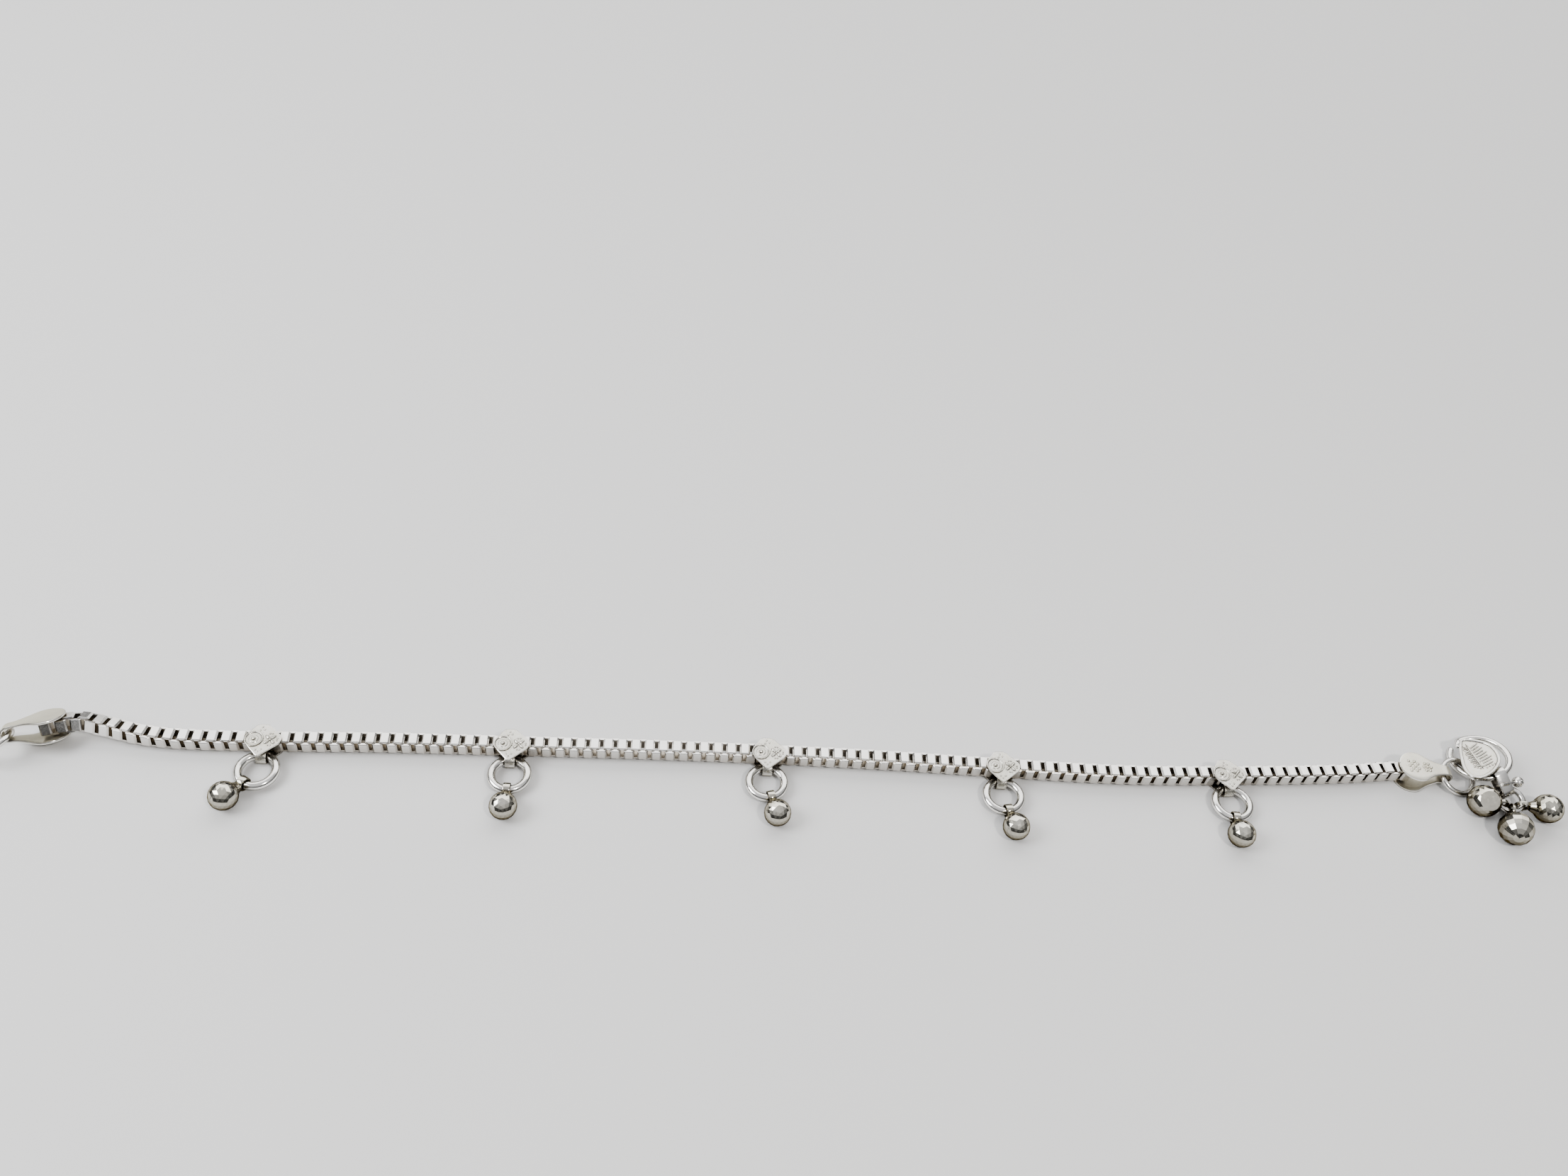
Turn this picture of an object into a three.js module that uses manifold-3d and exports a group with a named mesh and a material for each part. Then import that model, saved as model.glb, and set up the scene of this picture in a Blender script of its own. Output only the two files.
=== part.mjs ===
// A chain anklet with bells, lying open on a table, in millimetres with +Z up.
// +X runs along the chain from its plain end to the leaf hook, and the bells lie on its -Y side.
import * as THREE from 'three';
import { mergeVertices } from 'three/addons/utils/BufferGeometryUtils.js';
import Module from 'manifold-3d';

const wasm = await Module();
wasm.setup();

// Driving sizes of the box chain: each link is a flat strip bent into a square ring
const LINK_SPACING = 1.1;
const STRIP_THICKNESS = 0.31;
const CHAIN_SIDE = 2.7;
const STRIP_WIDTH = CHAIN_SIDE - 2 * STRIP_THICKNESS - 0.12;
const LINK_BITE = 0.06;
const LINK_LENGTH = LINK_SPACING + 2 * STRIP_THICKNESS - LINK_BITE;
const LINKS_LEFT = 103;
const LINKS_RIGHT = 100;
const HALF_PLAY = 0.12;

// Sheet pieces: the folded plates and the end caps
const SHEET = 0.34;
const SHEET_GAP = 0.12;
const CHAIN_CLEAR = CHAIN_SIDE / 2 + SHEET_GAP;
const CHAIN_RISE = CHAIN_CLEAR + SHEET;

// Round wire of the drop rings, and of the end rings, hook and cluster ring
const DROP_WIRE = 0.68;
const DROP_RING = 2.85;
const END_WIRE = 0.5;
const END_RING = 2.95;
const HOOK_RING = 4.6; // middle of the hook's wire
const HOOK_WIRE = 0.57;
const WIRE_SIDES = 6;
const RING_STEPS = 14;

// The chain's way over the table. x and y are along and across it, lift is its height above
// lying flat, and roll is its turn about its own length in degrees.
const CHAIN_WAY = [
  { x: -114.5, y: -0.28, lift: 1.24, roll: -30 },
  { x: -111.5, y: 0.69, lift: 1.24, roll: -30 },
  { x: -108.5, y: 1.4, lift: 1.1, roll: -28 },
  { x: -104.5, y: 0.95, lift: 0.6, roll: -20 },
  { x: -100.0, y: 0.1, lift: 0.2, roll: -9 },
  { x: -94.5, y: -0.45, lift: 0.05, roll: 0 },
  { x: -80.3, y: -0.45, lift: 0, roll: 0 },
  { x: -62.4, y: 0.0, lift: 0, roll: 0 },
  { x: -42.1, y: 0.1, lift: 0, roll: 0 },
  { x: -17.3, y: 0.15, lift: 0, roll: 0 },
  { x: -0.9, y: -0.05, lift: 0, roll: 0 },
  { x: 19.9, y: -0.6, lift: 0, roll: 0 },
  { x: 37.6, y: -1.35, lift: 0, roll: 0 },
  { x: 58.0, y: -2.0, lift: 0, roll: 0 },
  { x: 75.9, y: -1.6, lift: 0, roll: 0 },
  { x: 98.0, y: -0.45, lift: 0, roll: 0 },
  { x: 106.2, y: 0.35, lift: 0, roll: 0 },
  { x: 112.5, y: 0.4, lift: 0, roll: 0 },
];

// The five stations. x is the place along the chain, ringTurn and bellTurn swing the ring and
// the bell about the upright, in degrees.
const STATIONS = [
  { x: -80.4, ringTurn: -4, bellTurn: -33, bellRadius: 2.28 },
  { x: -42.1, ringTurn: 3, bellTurn: -2, bellRadius: 2.2 },
  { x: -0.9, ringTurn: -3, bellTurn: 14, bellRadius: 2.18 },
  { x: 37.6, ringTurn: 2, bellTurn: 9, bellRadius: 2.2 },
  { x: 75.9, ringTurn: 4, bellTurn: -4, bellRadius: 2.24 },
];

// Colours of the silver, from the brightest polish to the satin of the stamped sheet
const POLISHED = { color: 0xe9e7e2, roughness: 0.18, metalness: 1 };
const SATIN = { color: 0xdedbd0, roughness: 0.38, metalness: 1 };

// Solids and meshes

function toSolid(geometry) {
  geometry.deleteAttribute('normal');
  geometry.deleteAttribute('uv');
  const merged = mergeVertices(geometry, 1e-5);
  const vertProperties = new Float32Array(merged.attributes.position.array);
  const triVerts = new Uint32Array(merged.index.array);
  return new wasm.Manifold(new wasm.Mesh({ numProp: 3, vertProperties, triVerts }));
}

function toGeometry(solid) {
  const { vertProperties, triVerts, numProp } = solid.getMesh();
  const points = new Float32Array((vertProperties.length / numProp) * 3);
  for (let i = 0; i < points.length / 3; i += 1) {
    for (let axis = 0; axis < 3; axis += 1) points[3 * i + axis] = vertProperties[numProp * i + axis];
  }
  const geometry = new THREE.BufferGeometry();
  geometry.setAttribute('position', new THREE.BufferAttribute(points, 3));
  geometry.setIndex(new THREE.BufferAttribute(new Uint32Array(triVerts), 1));
  geometry.computeVertexNormals();
  return geometry;
}

function joined(solids) {
  return wasm.Manifold.union(solids);
}

function piece(name, geometry, finish) {
  const mesh = new THREE.Mesh(geometry, new THREE.MeshStandardMaterial(finish));
  mesh.name = name;
  return mesh;
}

function wireSection(radius) {
  const corners = [];
  for (let i = 0; i < WIRE_SIDES; i += 1) {
    const angle = (2 * Math.PI * i) / WIRE_SIDES;
    corners.push(new THREE.Vector2(radius * Math.cos(angle), radius * Math.sin(angle)));
  }
  return new THREE.Shape(corners);
}

// The chain

const chainCurve = new THREE.CatmullRomCurve3(
  CHAIN_WAY.map(({ x, y, lift }) => new THREE.Vector3(x, y, CHAIN_RISE + lift)),
  false,
  'centripetal',
);
chainCurve.arcLengthDivisions = 2000;

function between(x, column) {
  const after = Math.max(1, CHAIN_WAY.findIndex((row) => row.x >= x));
  const [a, b] = [CHAIN_WAY[after - 1], CHAIN_WAY[after]];
  const share = THREE.MathUtils.smoothstep(x, a.x, b.x);
  return THREE.MathUtils.lerp(a[column], b[column], share);
}

// A frame on the chain: x along it, z up after its roll
function chainFrame(share) {
  const at = chainCurve.getPointAt(share);
  const along = chainCurve.getTangentAt(share);
  const roll = THREE.MathUtils.degToRad(between(at.x, 'roll'));
  const across = new THREE.Vector3(0, 0, 1).cross(along).normalize().applyAxisAngle(along, roll);
  const up = along.clone().cross(across);
  return new THREE.Matrix4().makeBasis(along, across, up).setPosition(at);
}

function shareAtX(x) {
  let [low, high] = [0, 1];
  for (let i = 0; i < 40; i += 1) {
    const middle = (low + high) / 2;
    if (chainCurve.getPointAt(middle).x < x) low = middle;
    else high = middle;
  }
  return low;
}

function linkRing() {
  const [halfLength, halfSide] = [LINK_LENGTH / 2, CHAIN_SIDE / 2];
  const outline = new THREE.Shape([
    new THREE.Vector2(-halfLength, -halfSide),
    new THREE.Vector2(halfLength, -halfSide),
    new THREE.Vector2(halfLength, halfSide),
    new THREE.Vector2(-halfLength, halfSide),
  ]);
  const [innerLength, innerSide] = [halfLength - STRIP_THICKNESS, halfSide - STRIP_THICKNESS];
  outline.holes.push(new THREE.Path([
    new THREE.Vector2(-innerLength, -innerSide),
    new THREE.Vector2(-innerLength, innerSide),
    new THREE.Vector2(innerLength, innerSide),
    new THREE.Vector2(innerLength, -innerSide),
  ]));
  const ring = new THREE.ExtrudeGeometry(outline, { depth: STRIP_WIDTH, bevelEnabled: false });
  return ring.translate(0, 0, -STRIP_WIDTH / 2);
}

function chainHalf(name, count, first, start) {
  const length = chainCurve.getLength();
  const links = [];
  for (let i = 0; i < count; i += 1) {
    const ring = linkRing();
    if ((first + i) % 2 === 0) ring.rotateX(Math.PI / 2);
    links.push(toSolid(ring.applyMatrix4(chainFrame((start + i * LINK_SPACING) / length))));
  }
  return piece(name, toGeometry(joined(links)), POLISHED);
}

// Drop rings, end rings and the cluster ring are closed rings of round wire
function wireRing(radius, wire) {
  return new THREE.TorusGeometry(radius, wire, WIRE_SIDES, RING_STEPS);
}

// A place on a table-top ring that leans: rise is how far its far and right sides lift
function leaningPlace({ x, y, z, radius, riseRight, riseFar }) {
  const lift = Math.hypot(riseRight, riseFar);
  const lean = Math.asin(lift / radius);
  const normal = new THREE.Vector3(-riseRight, -riseFar, 0).multiplyScalar(Math.sin(lean) / (lift || 1));
  normal.z = Math.cos(lean);
  const spin = new THREE.Quaternion().setFromUnitVectors(new THREE.Vector3(0, 0, 1), normal);
  return new THREE.Matrix4().makeRotationFromQuaternion(spin).setPosition(x, y, z);
}

// The stations: a plate folded round the chain, with an eye for the drop ring

const FOLD_WIDTH = 1.6;
const FOLD_X = -0.2;
const BOSS = { x: -1.2, y: -0.9, radius: 1.4, rise: 0.14 };
const PLATE_RIGHT = 2.95;
const PLATE_NEAR = -4.05;
const EYE_WIDTH = 1.6;
const EYE_PLAY = 0.22;
const EYE_INNER = DROP_WIRE + EYE_PLAY;
const EYE_Z = EYE_INNER + SHEET;
const RING_BACK = 0.06;
const EYE_Y = -2.41;
const EYE_STEPS = 9;
const EYE_SWEEP = Math.PI;

function topPlateShape() {
  const shape = new THREE.Shape();
  shape.moveTo(FOLD_X - FOLD_WIDTH / 2, CHAIN_RISE);
  shape.lineTo(BOSS.x - 0.85 * BOSS.radius, BOSS.y + 0.5 * BOSS.radius);
  shape.lineTo(BOSS.x - 0.85 * BOSS.radius, BOSS.y - 0.5 * BOSS.radius);
  shape.lineTo(-0.45, PLATE_NEAR + 0.05);
  shape.lineTo(0.15, PLATE_NEAR);
  shape.lineTo(PLATE_RIGHT - 0.08, -1.45);
  shape.lineTo(PLATE_RIGHT, -0.45);
  shape.lineTo(FOLD_X + FOLD_WIDTH / 2, CHAIN_RISE);
  return shape;
}

function bottomPlateShape() {
  const shape = new THREE.Shape();
  shape.moveTo(FOLD_X - FOLD_WIDTH / 2, CHAIN_RISE);
  shape.lineTo(-2.5, -0.7);
  shape.lineTo(-EYE_WIDTH / 2, -2.2);
  shape.lineTo(EYE_WIDTH / 2, -2.2);
  shape.lineTo(2.6, -0.7);
  shape.lineTo(FOLD_X + FOLD_WIDTH / 2, CHAIN_RISE);
  return shape;
}

// The tongue of the bottom plate, rolled up round the ring's wire, drawn across the chain
function tongueShape() {
  const eyeZ = EYE_Z - CHAIN_RISE;
  const outer = EYE_INNER + SHEET;
  const shape = new THREE.Shape();
  shape.moveTo(-2.0, -CHAIN_RISE + SHEET);
  shape.lineTo(-2.0, -CHAIN_RISE);
  for (let i = 0; i <= EYE_STEPS; i += 1) {
    const angle = -Math.PI / 2 - (i / EYE_STEPS) * EYE_SWEEP;
    shape.lineTo(EYE_Y + outer * Math.cos(angle), eyeZ + outer * Math.sin(angle));
  }
  for (let i = EYE_STEPS; i >= 0; i -= 1) {
    const angle = -Math.PI / 2 - (i / EYE_STEPS) * EYE_SWEEP;
    shape.lineTo(EYE_Y + (outer - SHEET) * Math.cos(angle), eyeZ + (outer - SHEET) * Math.sin(angle));
  }
  return shape;
}

function stationPlate() {
  const flat = { depth: SHEET, bevelEnabled: false };
  const top = new THREE.ExtrudeGeometry(topPlateShape(), flat).translate(0, 0, CHAIN_CLEAR);
  const bottom = new THREE.ExtrudeGeometry(bottomPlateShape(), flat).translate(0, 0, -CHAIN_RISE);
  const fold = new THREE.BoxGeometry(FOLD_WIDTH, SHEET, 2 * CHAIN_RISE - SHEET)
    .translate(FOLD_X, CHAIN_RISE - SHEET / 2, 0);
  const bossHeight = SHEET + BOSS.rise;
  const boss = new THREE.CylinderGeometry(BOSS.radius, BOSS.radius, bossHeight, 16)
    .rotateX(Math.PI / 2)
    .translate(BOSS.x, BOSS.y, CHAIN_CLEAR + bossHeight / 2);
  const tongue = new THREE.ExtrudeGeometry(tongueShape(), { depth: EYE_WIDTH, bevelEnabled: false });
  tongue.applyMatrix4(new THREE.Matrix4().makeBasis(
    new THREE.Vector3(0, 1, 0),
    new THREE.Vector3(0, 0, 1),
    new THREE.Vector3(1, 0, 0),
  ));
  tongue.translate(-EYE_WIDTH / 2, 0, 0);
  return toGeometry(joined([top, bottom, fold, boss, tongue].map(toSolid)));
}

// A bell: a faceted ball, its neck and a band loop round a wire. The loop's middle is at the
// origin, its axis runs along y and the ball lies along x.

const BALL_SIDES = 12;
const BALL_RINGS = 6;
const NECK_RADIUS = 0.5;
const LOOP_SIDES = 10;
const DROP_LOOP = { inner: 0.84, outer: 1.14, width: 0.9, neck: 0.3 };

function bellGeometry({ radius, inner, outer, width, neck }) {
  const reach = outer + neck + radius;
  const ball = new THREE.SphereGeometry(radius, BALL_SIDES, BALL_RINGS)
    .rotateZ(Math.PI / 2)
    .translate(reach, 0, 0);
  const [neckFrom, neckTo] = [outer - (outer - inner) / 2, outer + neck + 0.25];
  const stem = new THREE.CylinderGeometry(NECK_RADIUS, NECK_RADIUS, neckTo - neckFrom, 8)
    .rotateZ(Math.PI / 2)
    .translate((neckFrom + neckTo) / 2, 0, 0);
  const loop = new THREE.LatheGeometry([
    new THREE.Vector2(inner, -width / 2),
    new THREE.Vector2(outer, -width / 2),
    new THREE.Vector2(outer, width / 2),
    new THREE.Vector2(inner, width / 2),
    new THREE.Vector2(inner, -width / 2),
  ], LOOP_SIDES);
  return toGeometry(joined([ball, stem, loop].map(toSolid)));
}

// Sets a bell with its loop's middle at a place, its ball resting on the table in the heading's
// direction, and the loop turned as nearly across the wire as the ball lets it, then tipped
function setBell(name, { at, wireRun, heading, tip = 0, ...sizes }) {
  const reach = sizes.outer + sizes.neck + sizes.radius;
  const climb = Math.asin((sizes.radius - at.z) / reach);
  const azimuth = THREE.MathUtils.degToRad(heading);
  const out = new THREE.Vector3(
    Math.cos(climb) * Math.cos(azimuth),
    Math.cos(climb) * Math.sin(azimuth),
    Math.sin(climb),
  );
  const axis = wireRun.clone().addScaledVector(out, -wireRun.dot(out)).normalize();
  axis.applyAxisAngle(out, THREE.MathUtils.degToRad(tip));
  const bell = piece(name, bellGeometry(sizes), POLISHED);
  bell.applyMatrix4(new THREE.Matrix4().makeBasis(out, axis, out.clone().cross(axis)).setPosition(at));
  return bell;
}

function station(number, { x, ringTurn, bellTurn, bellRadius }) {
  const frame = chainFrame(shareAtX(x));
  const group = new THREE.Group();
  const plate = piece(`plate_${number}`, stationPlate(), SATIN);
  plate.applyMatrix4(frame);
  const swing = THREE.MathUtils.degToRad(ringTurn);
  const eye = new THREE.Vector3(0, EYE_Y, EYE_Z - CHAIN_RISE).applyMatrix4(frame);
  const middle = eye.clone()
    .add(new THREE.Vector3(Math.sin(swing), -Math.cos(swing), 0).multiplyScalar(DROP_RING - RING_BACK));
  const ring = piece(`drop_ring_${number}`, wireRing(DROP_RING, DROP_WIRE), POLISHED);
  ring.position.copy(middle);
  const heading = -90 + bellTurn;
  const out = THREE.MathUtils.degToRad(heading);
  const at = middle.clone().add(new THREE.Vector3(Math.cos(out), Math.sin(out), 0).multiplyScalar(DROP_RING));
  const wireRun = new THREE.Vector3(-Math.sin(out), Math.cos(out), 0);
  const bell = setBell(`drop_bell_${number}`, { at, wireRun, heading, radius: bellRadius, ...DROP_LOOP });
  group.add(plate, ring, bell);
  return group;
}

// The end caps: a pear-shaped leaf above and below the chain's end, folded at a narrow neck
// round a ring. The head's tip is at the origin and the neck lies along x.

const CAP = {
  headRadius: 2.9, shoulder: 5.4, neckHalf: 1.0, wireX: 8.15, wireZ: 0.2, neckRadius: 1.34,
};
const CAP_ARC_STEPS = 8;

function capOutline() {
  const { headRadius, neckHalf, wireX, neckRadius } = CAP;
  const shape = new THREE.Shape();
  const end = wireX + neckRadius + 0.2;
  shape.moveTo(end, -neckHalf);
  shape.lineTo(end, neckHalf);
  shape.lineTo(wireX - 0.9, neckHalf + 0.1);
  for (let i = 0; i <= 10; i += 1) {
    const angle = THREE.MathUtils.degToRad(68 + (i / 10) * (292 - 68));
    shape.lineTo(headRadius * (1 + Math.cos(angle)), headRadius * Math.sin(angle));
  }
  shape.lineTo(wireX - 0.9, -neckHalf - 0.1);
  return shape;
}

function capProfile() {
  const { shoulder, wireX, wireZ, neckRadius } = CAP;
  const arc = (radius, from, to) => Array.from({ length: CAP_ARC_STEPS + 1 }, (_, i) => {
    const angle = from + ((to - from) * i) / CAP_ARC_STEPS;
    return new THREE.Vector2(wireX + radius * Math.cos(angle), wireZ + radius * Math.sin(angle));
  });
  return new THREE.Shape([
    new THREE.Vector2(-0.2, CHAIN_CLEAR),
    new THREE.Vector2(-0.2, CHAIN_RISE),
    new THREE.Vector2(shoulder, CHAIN_RISE),
    ...arc(neckRadius, 0.42 * Math.PI, -0.42 * Math.PI),
    new THREE.Vector2(shoulder, -CHAIN_RISE),
    new THREE.Vector2(-0.2, -CHAIN_RISE),
    new THREE.Vector2(-0.2, -CHAIN_CLEAR),
    new THREE.Vector2(shoulder - 0.1, -CHAIN_CLEAR),
    ...arc(neckRadius - SHEET, -0.42 * Math.PI, 0.42 * Math.PI),
    new THREE.Vector2(shoulder - 0.1, CHAIN_CLEAR),
  ]);
}

function endCap(name, at, turn) {
  const wide = 2 * CAP.headRadius + 1;
  const leaf = new THREE.ExtrudeGeometry(capProfile(), { depth: wide, bevelEnabled: false })
    .translate(0, 0, -wide / 2)
    .rotateX(Math.PI / 2);
  const cutter = new THREE.ExtrudeGeometry(capOutline(), { depth: 2 * CHAIN_RISE + 2, bevelEnabled: false })
    .translate(0, 0, -CHAIN_RISE - 1);
  const solid = toSolid(leaf).intersect(toSolid(cutter));
  const cap = piece(name, toGeometry(solid), SATIN);
  cap.rotation.set(...turn.map(THREE.MathUtils.degToRad), 'ZYX');
  cap.position.set(...at);
  return cap;
}

// The whole anklet

const anklet = new THREE.Group();
const chainLength = chainCurve.getLength();
const meeting = shareAtX(STATIONS[2].x) * chainLength;
const meetingStep = LINK_SPACING - LINK_BITE - HALF_PLAY;
const leftStart = meeting - meetingStep / 2 - (LINKS_LEFT - 1) * LINK_SPACING;
anklet.add(chainHalf('chain_left', LINKS_LEFT, 1, leftStart));
anklet.add(chainHalf('chain_right', LINKS_RIGHT, 0, meeting + meetingStep / 2));
STATIONS.forEach((row, index) => anklet.add(station(index + 1, row)));
anklet.add(endCap('end_cap_right', [106.9, 0.42, CHAIN_RISE], [0, 0, -4]));

anklet.add(endCap('end_cap_left', [-110.2, 1.11, 3.05], [30, 0, 198]));

// The end rings

const LEFT_RING = { x: -120.37, y: -2.64, z: 2.32, radius: END_RING, riseRight: 1.4, riseFar: -1.0 };
const leftRing = piece('end_ring_left', wireRing(END_RING, END_WIRE), POLISHED);
leftRing.applyMatrix4(leaningPlace(LEFT_RING));
anklet.add(leftRing);

const RIGHT_RING = { x: 117.9, y: -0.25, z: 1.52, radius: END_RING, riseRight: -0.45, riseFar: 0.85 };
const rightRing = piece('end_ring_right', wireRing(END_RING, END_WIRE), POLISHED);
rightRing.applyMatrix4(leaningPlace(RIGHT_RING));
anklet.add(rightRing);

// The leaf hook: a round hook of wire with the leaf standing over it on a soldered root

const HOOK = { x: 122.9, y: 3.3, z: 2.25, radius: HOOK_RING, riseRight: 1.3, riseFar: -0.7 };
const HOOK_FROM = 140;
const HOOK_SWEEP = 338;
const LEAF_RAISE = 2.0;
const LEAF_THICK = 0.45;

class HookBend extends THREE.Curve {
  getPoint(share, target = new THREE.Vector3()) {
    const angle = THREE.MathUtils.degToRad(HOOK_FROM + share * HOOK_SWEEP);
    return target.set(HOOK_RING * Math.cos(angle), HOOK_RING * Math.sin(angle), 0);
  }
}

// The leaf's edge from its tip round by the left, as places from the middle of the hook
const LEAF_EDGE = [
  [-2.4, 3], [-3.3, 1], [-3.85, -0.8], [-4.45, -3.3], [-4.35, -5.1], [-3.6, -6.1],
  [-2.2, -6.3], [-0.2, -5.45], [1.45, -3.95], [2.25, -2.4], [2.3, -0.45], [1.6, 1.3], [-0.7, 2.6],
];

function leafShape() {
  return new THREE.Shape(LEAF_EDGE.map(([x, y]) => new THREE.Vector2(x, y)));
}

function leafHook() {
  const wire = new THREE.ExtrudeGeometry(wireSection(HOOK_WIRE), {
    extrudePath: new HookBend(), steps: 16, bevelEnabled: false,
  });
  const leaf = new THREE.ExtrudeGeometry(leafShape(), { depth: LEAF_THICK, bevelEnabled: false })
    .translate(0, 0, LEAF_RAISE);
  const rootAngle = THREE.MathUtils.degToRad(-112);
  const root = new THREE.BoxGeometry(1.0, 1.6, LEAF_RAISE + 0.1)
    .rotateZ(rootAngle)
    .translate(HOOK_RING * Math.cos(rootAngle), HOOK_RING * Math.sin(rootAngle), LEAF_RAISE / 2 + 0.15);
  return toGeometry(joined([wire, leaf, root].map(toSolid)));
}

const hook = piece('leaf_hook', leafHook(), SATIN);
hook.applyMatrix4(leaningPlace(HOOK));
anklet.add(hook);

// The cluster: a bail on the hook, a ring in the bail and three bells on the ring

const CLUSTER = { x: 125.5, y: -4.75, z: 1.55, radius: 2.05, riseRight: 0.3, riseFar: 0.45 };
const clusterRing = piece('cluster_ring', wireRing(CLUSTER.radius, END_WIRE), POLISHED);
clusterRing.applyMatrix4(leaningPlace(CLUSTER));
anklet.add(clusterRing);

function onRing(ring, degrees) {
  const angle = THREE.MathUtils.degToRad(degrees);
  return new THREE.Vector3(ring.radius * Math.cos(angle), ring.radius * Math.sin(angle), 0)
    .applyMatrix4(leaningPlace(ring));
}

// The three bells, by their place round the ring and the way each ball lies from it
const CLUSTER_BELLS = [
  { ringAngle: -155, heading: 184, radius: 2.7, neck: 0.12, tip: 0 },
  { ringAngle: -35, heading: -14, radius: 2.46, neck: 0.15, tip: 0 },
  { ringAngle: -105, heading: -112, radius: 2.8, neck: 1.0, tip: -10 },
];
const CLUSTER_LOOP = { inner: 0.98, outer: 1.28, width: 0.5 };
const LOOP_LIFT = 0.18;
CLUSTER_BELLS.forEach(({ ringAngle, ...row }, index) => {
  const at = onRing(CLUSTER, ringAngle);
  const wireRun = onRing(CLUSTER, ringAngle + 1).sub(onRing(CLUSTER, ringAngle - 1)).normalize();
  at.z += LOOP_LIFT;
  anklet.add(setBell(`cluster_bell_${index + 1}`, { at, wireRun, ...CLUSTER_LOOP, ...row }));
});

const BAIL_ANGLE = -75;
const BAIL_WIDTH = 2.0;
const BAIL_INNER = 1.0;

function bailGeometry(span) {
  const outer = BAIL_INNER + SHEET;
  const stadium = (radius) => {
    const path = [];
    for (let i = 0; i <= 6; i += 1) {
      const angle = -Math.PI / 2 + (i / 6) * Math.PI;
      path.push(new THREE.Vector2(span / 2 + radius * Math.cos(angle), radius * Math.sin(angle)));
    }
    for (let i = 0; i <= 6; i += 1) {
      const angle = Math.PI / 2 + (i / 6) * Math.PI;
      path.push(new THREE.Vector2(-span / 2 + radius * Math.cos(angle), radius * Math.sin(angle)));
    }
    return path;
  };
  const shape = new THREE.Shape(stadium(outer));
  shape.holes.push(new THREE.Path(stadium(BAIL_INNER)));
  return new THREE.ExtrudeGeometry(shape, { depth: BAIL_WIDTH, bevelEnabled: false })
    .translate(0, 0, -BAIL_WIDTH / 2);
}

const hookWire = onRing(HOOK, BAIL_ANGLE);
const clusterWire = onRing(CLUSTER, 104);
const reach = clusterWire.clone().sub(hookWire);
const alongWire = new THREE.Vector3(Math.cos(0.2), Math.sin(0.2), 0.18).normalize();
const bailUp = alongWire.clone().cross(reach).normalize().negate();
const bailRun = reach.clone().normalize();
const bailPlace = new THREE.Matrix4().makeBasis(bailRun, bailUp, bailRun.clone().cross(bailUp))
  .setPosition(hookWire.clone().add(clusterWire).multiplyScalar(0.5));

// A pin lies across the bail, soldered to its upper strap, and ends in a round knob
const PIN_FROM = new THREE.Vector3(123.95, -2.9, 3.55);
const PIN_TO = new THREE.Vector3(127.35, -1.95, 2.95);
const PIN_WIRE = 0.3;
const KNOB = 0.95;

function pinWithKnob() {
  const run = PIN_TO.clone().sub(PIN_FROM);
  const pin = new THREE.CylinderGeometry(PIN_WIRE, PIN_WIRE, run.length(), 8);
  const turn = new THREE.Quaternion().setFromUnitVectors(new THREE.Vector3(0, 1, 0), run.clone().normalize());
  pin.applyQuaternion(turn);
  pin.translate(...PIN_FROM.clone().add(PIN_TO).multiplyScalar(0.5).toArray());
  const knob = new THREE.SphereGeometry(KNOB, 12, 8).applyQuaternion(turn).translate(...PIN_TO.toArray());
  return [pin, knob];
}

const strap = bailGeometry(reach.length() + 0.24).applyMatrix4(bailPlace);
const bail = piece('cluster_bail', toGeometry(joined([strap, ...pinWithKnob()].map(toSolid))), SATIN);
anklet.add(bail);

// The origin is under the middle of the whole, on the table
const whole = new THREE.Box3().setFromObject(anklet, true);
const middle = whole.getCenter(new THREE.Vector3());
anklet.position.set(-middle.x, -middle.y, -whole.min.z);
anklet.updateMatrixWorld(true);

export default anklet;
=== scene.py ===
# %% [markdown]
# # A silver anklet with bells
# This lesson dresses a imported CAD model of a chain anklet. The real one is all silver: a box
# chain of bent strip, stamped plates folded over it, rings of heavy wire and cut bells. Each
# cell makes one piece or one finish. Lengths are in millimetres until a piece is finished,
# because that is how a silversmith would measure it. Its last step turns them into metres.

import math

import bmesh
import bpy
from mathutils import Matrix, Quaternion, Vector


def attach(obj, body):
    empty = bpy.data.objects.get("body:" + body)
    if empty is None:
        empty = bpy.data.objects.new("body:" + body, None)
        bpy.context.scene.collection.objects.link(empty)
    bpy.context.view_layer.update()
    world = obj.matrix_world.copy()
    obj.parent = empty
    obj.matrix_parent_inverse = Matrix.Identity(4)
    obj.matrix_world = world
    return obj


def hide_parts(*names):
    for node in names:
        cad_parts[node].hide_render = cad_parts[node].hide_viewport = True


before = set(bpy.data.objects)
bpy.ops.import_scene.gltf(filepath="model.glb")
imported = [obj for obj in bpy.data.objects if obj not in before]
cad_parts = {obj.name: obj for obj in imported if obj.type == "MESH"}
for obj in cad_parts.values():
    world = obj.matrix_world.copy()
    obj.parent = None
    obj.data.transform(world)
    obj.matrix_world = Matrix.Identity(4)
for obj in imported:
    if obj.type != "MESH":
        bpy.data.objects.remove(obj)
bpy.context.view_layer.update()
print("CAD nodes:", len(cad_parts))

# %% [markdown]
# ## Camera
# The photograph looks down on the table at 47.5 degrees from the bell side, with the camera
# held 177 mm above it and tipped by 8 degrees. A camera object could be aimed with a Track To
# constraint, but the tip is easier to state when its three axes are worked out and set as a
# matrix. The picture is 62 degrees wide.

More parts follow.
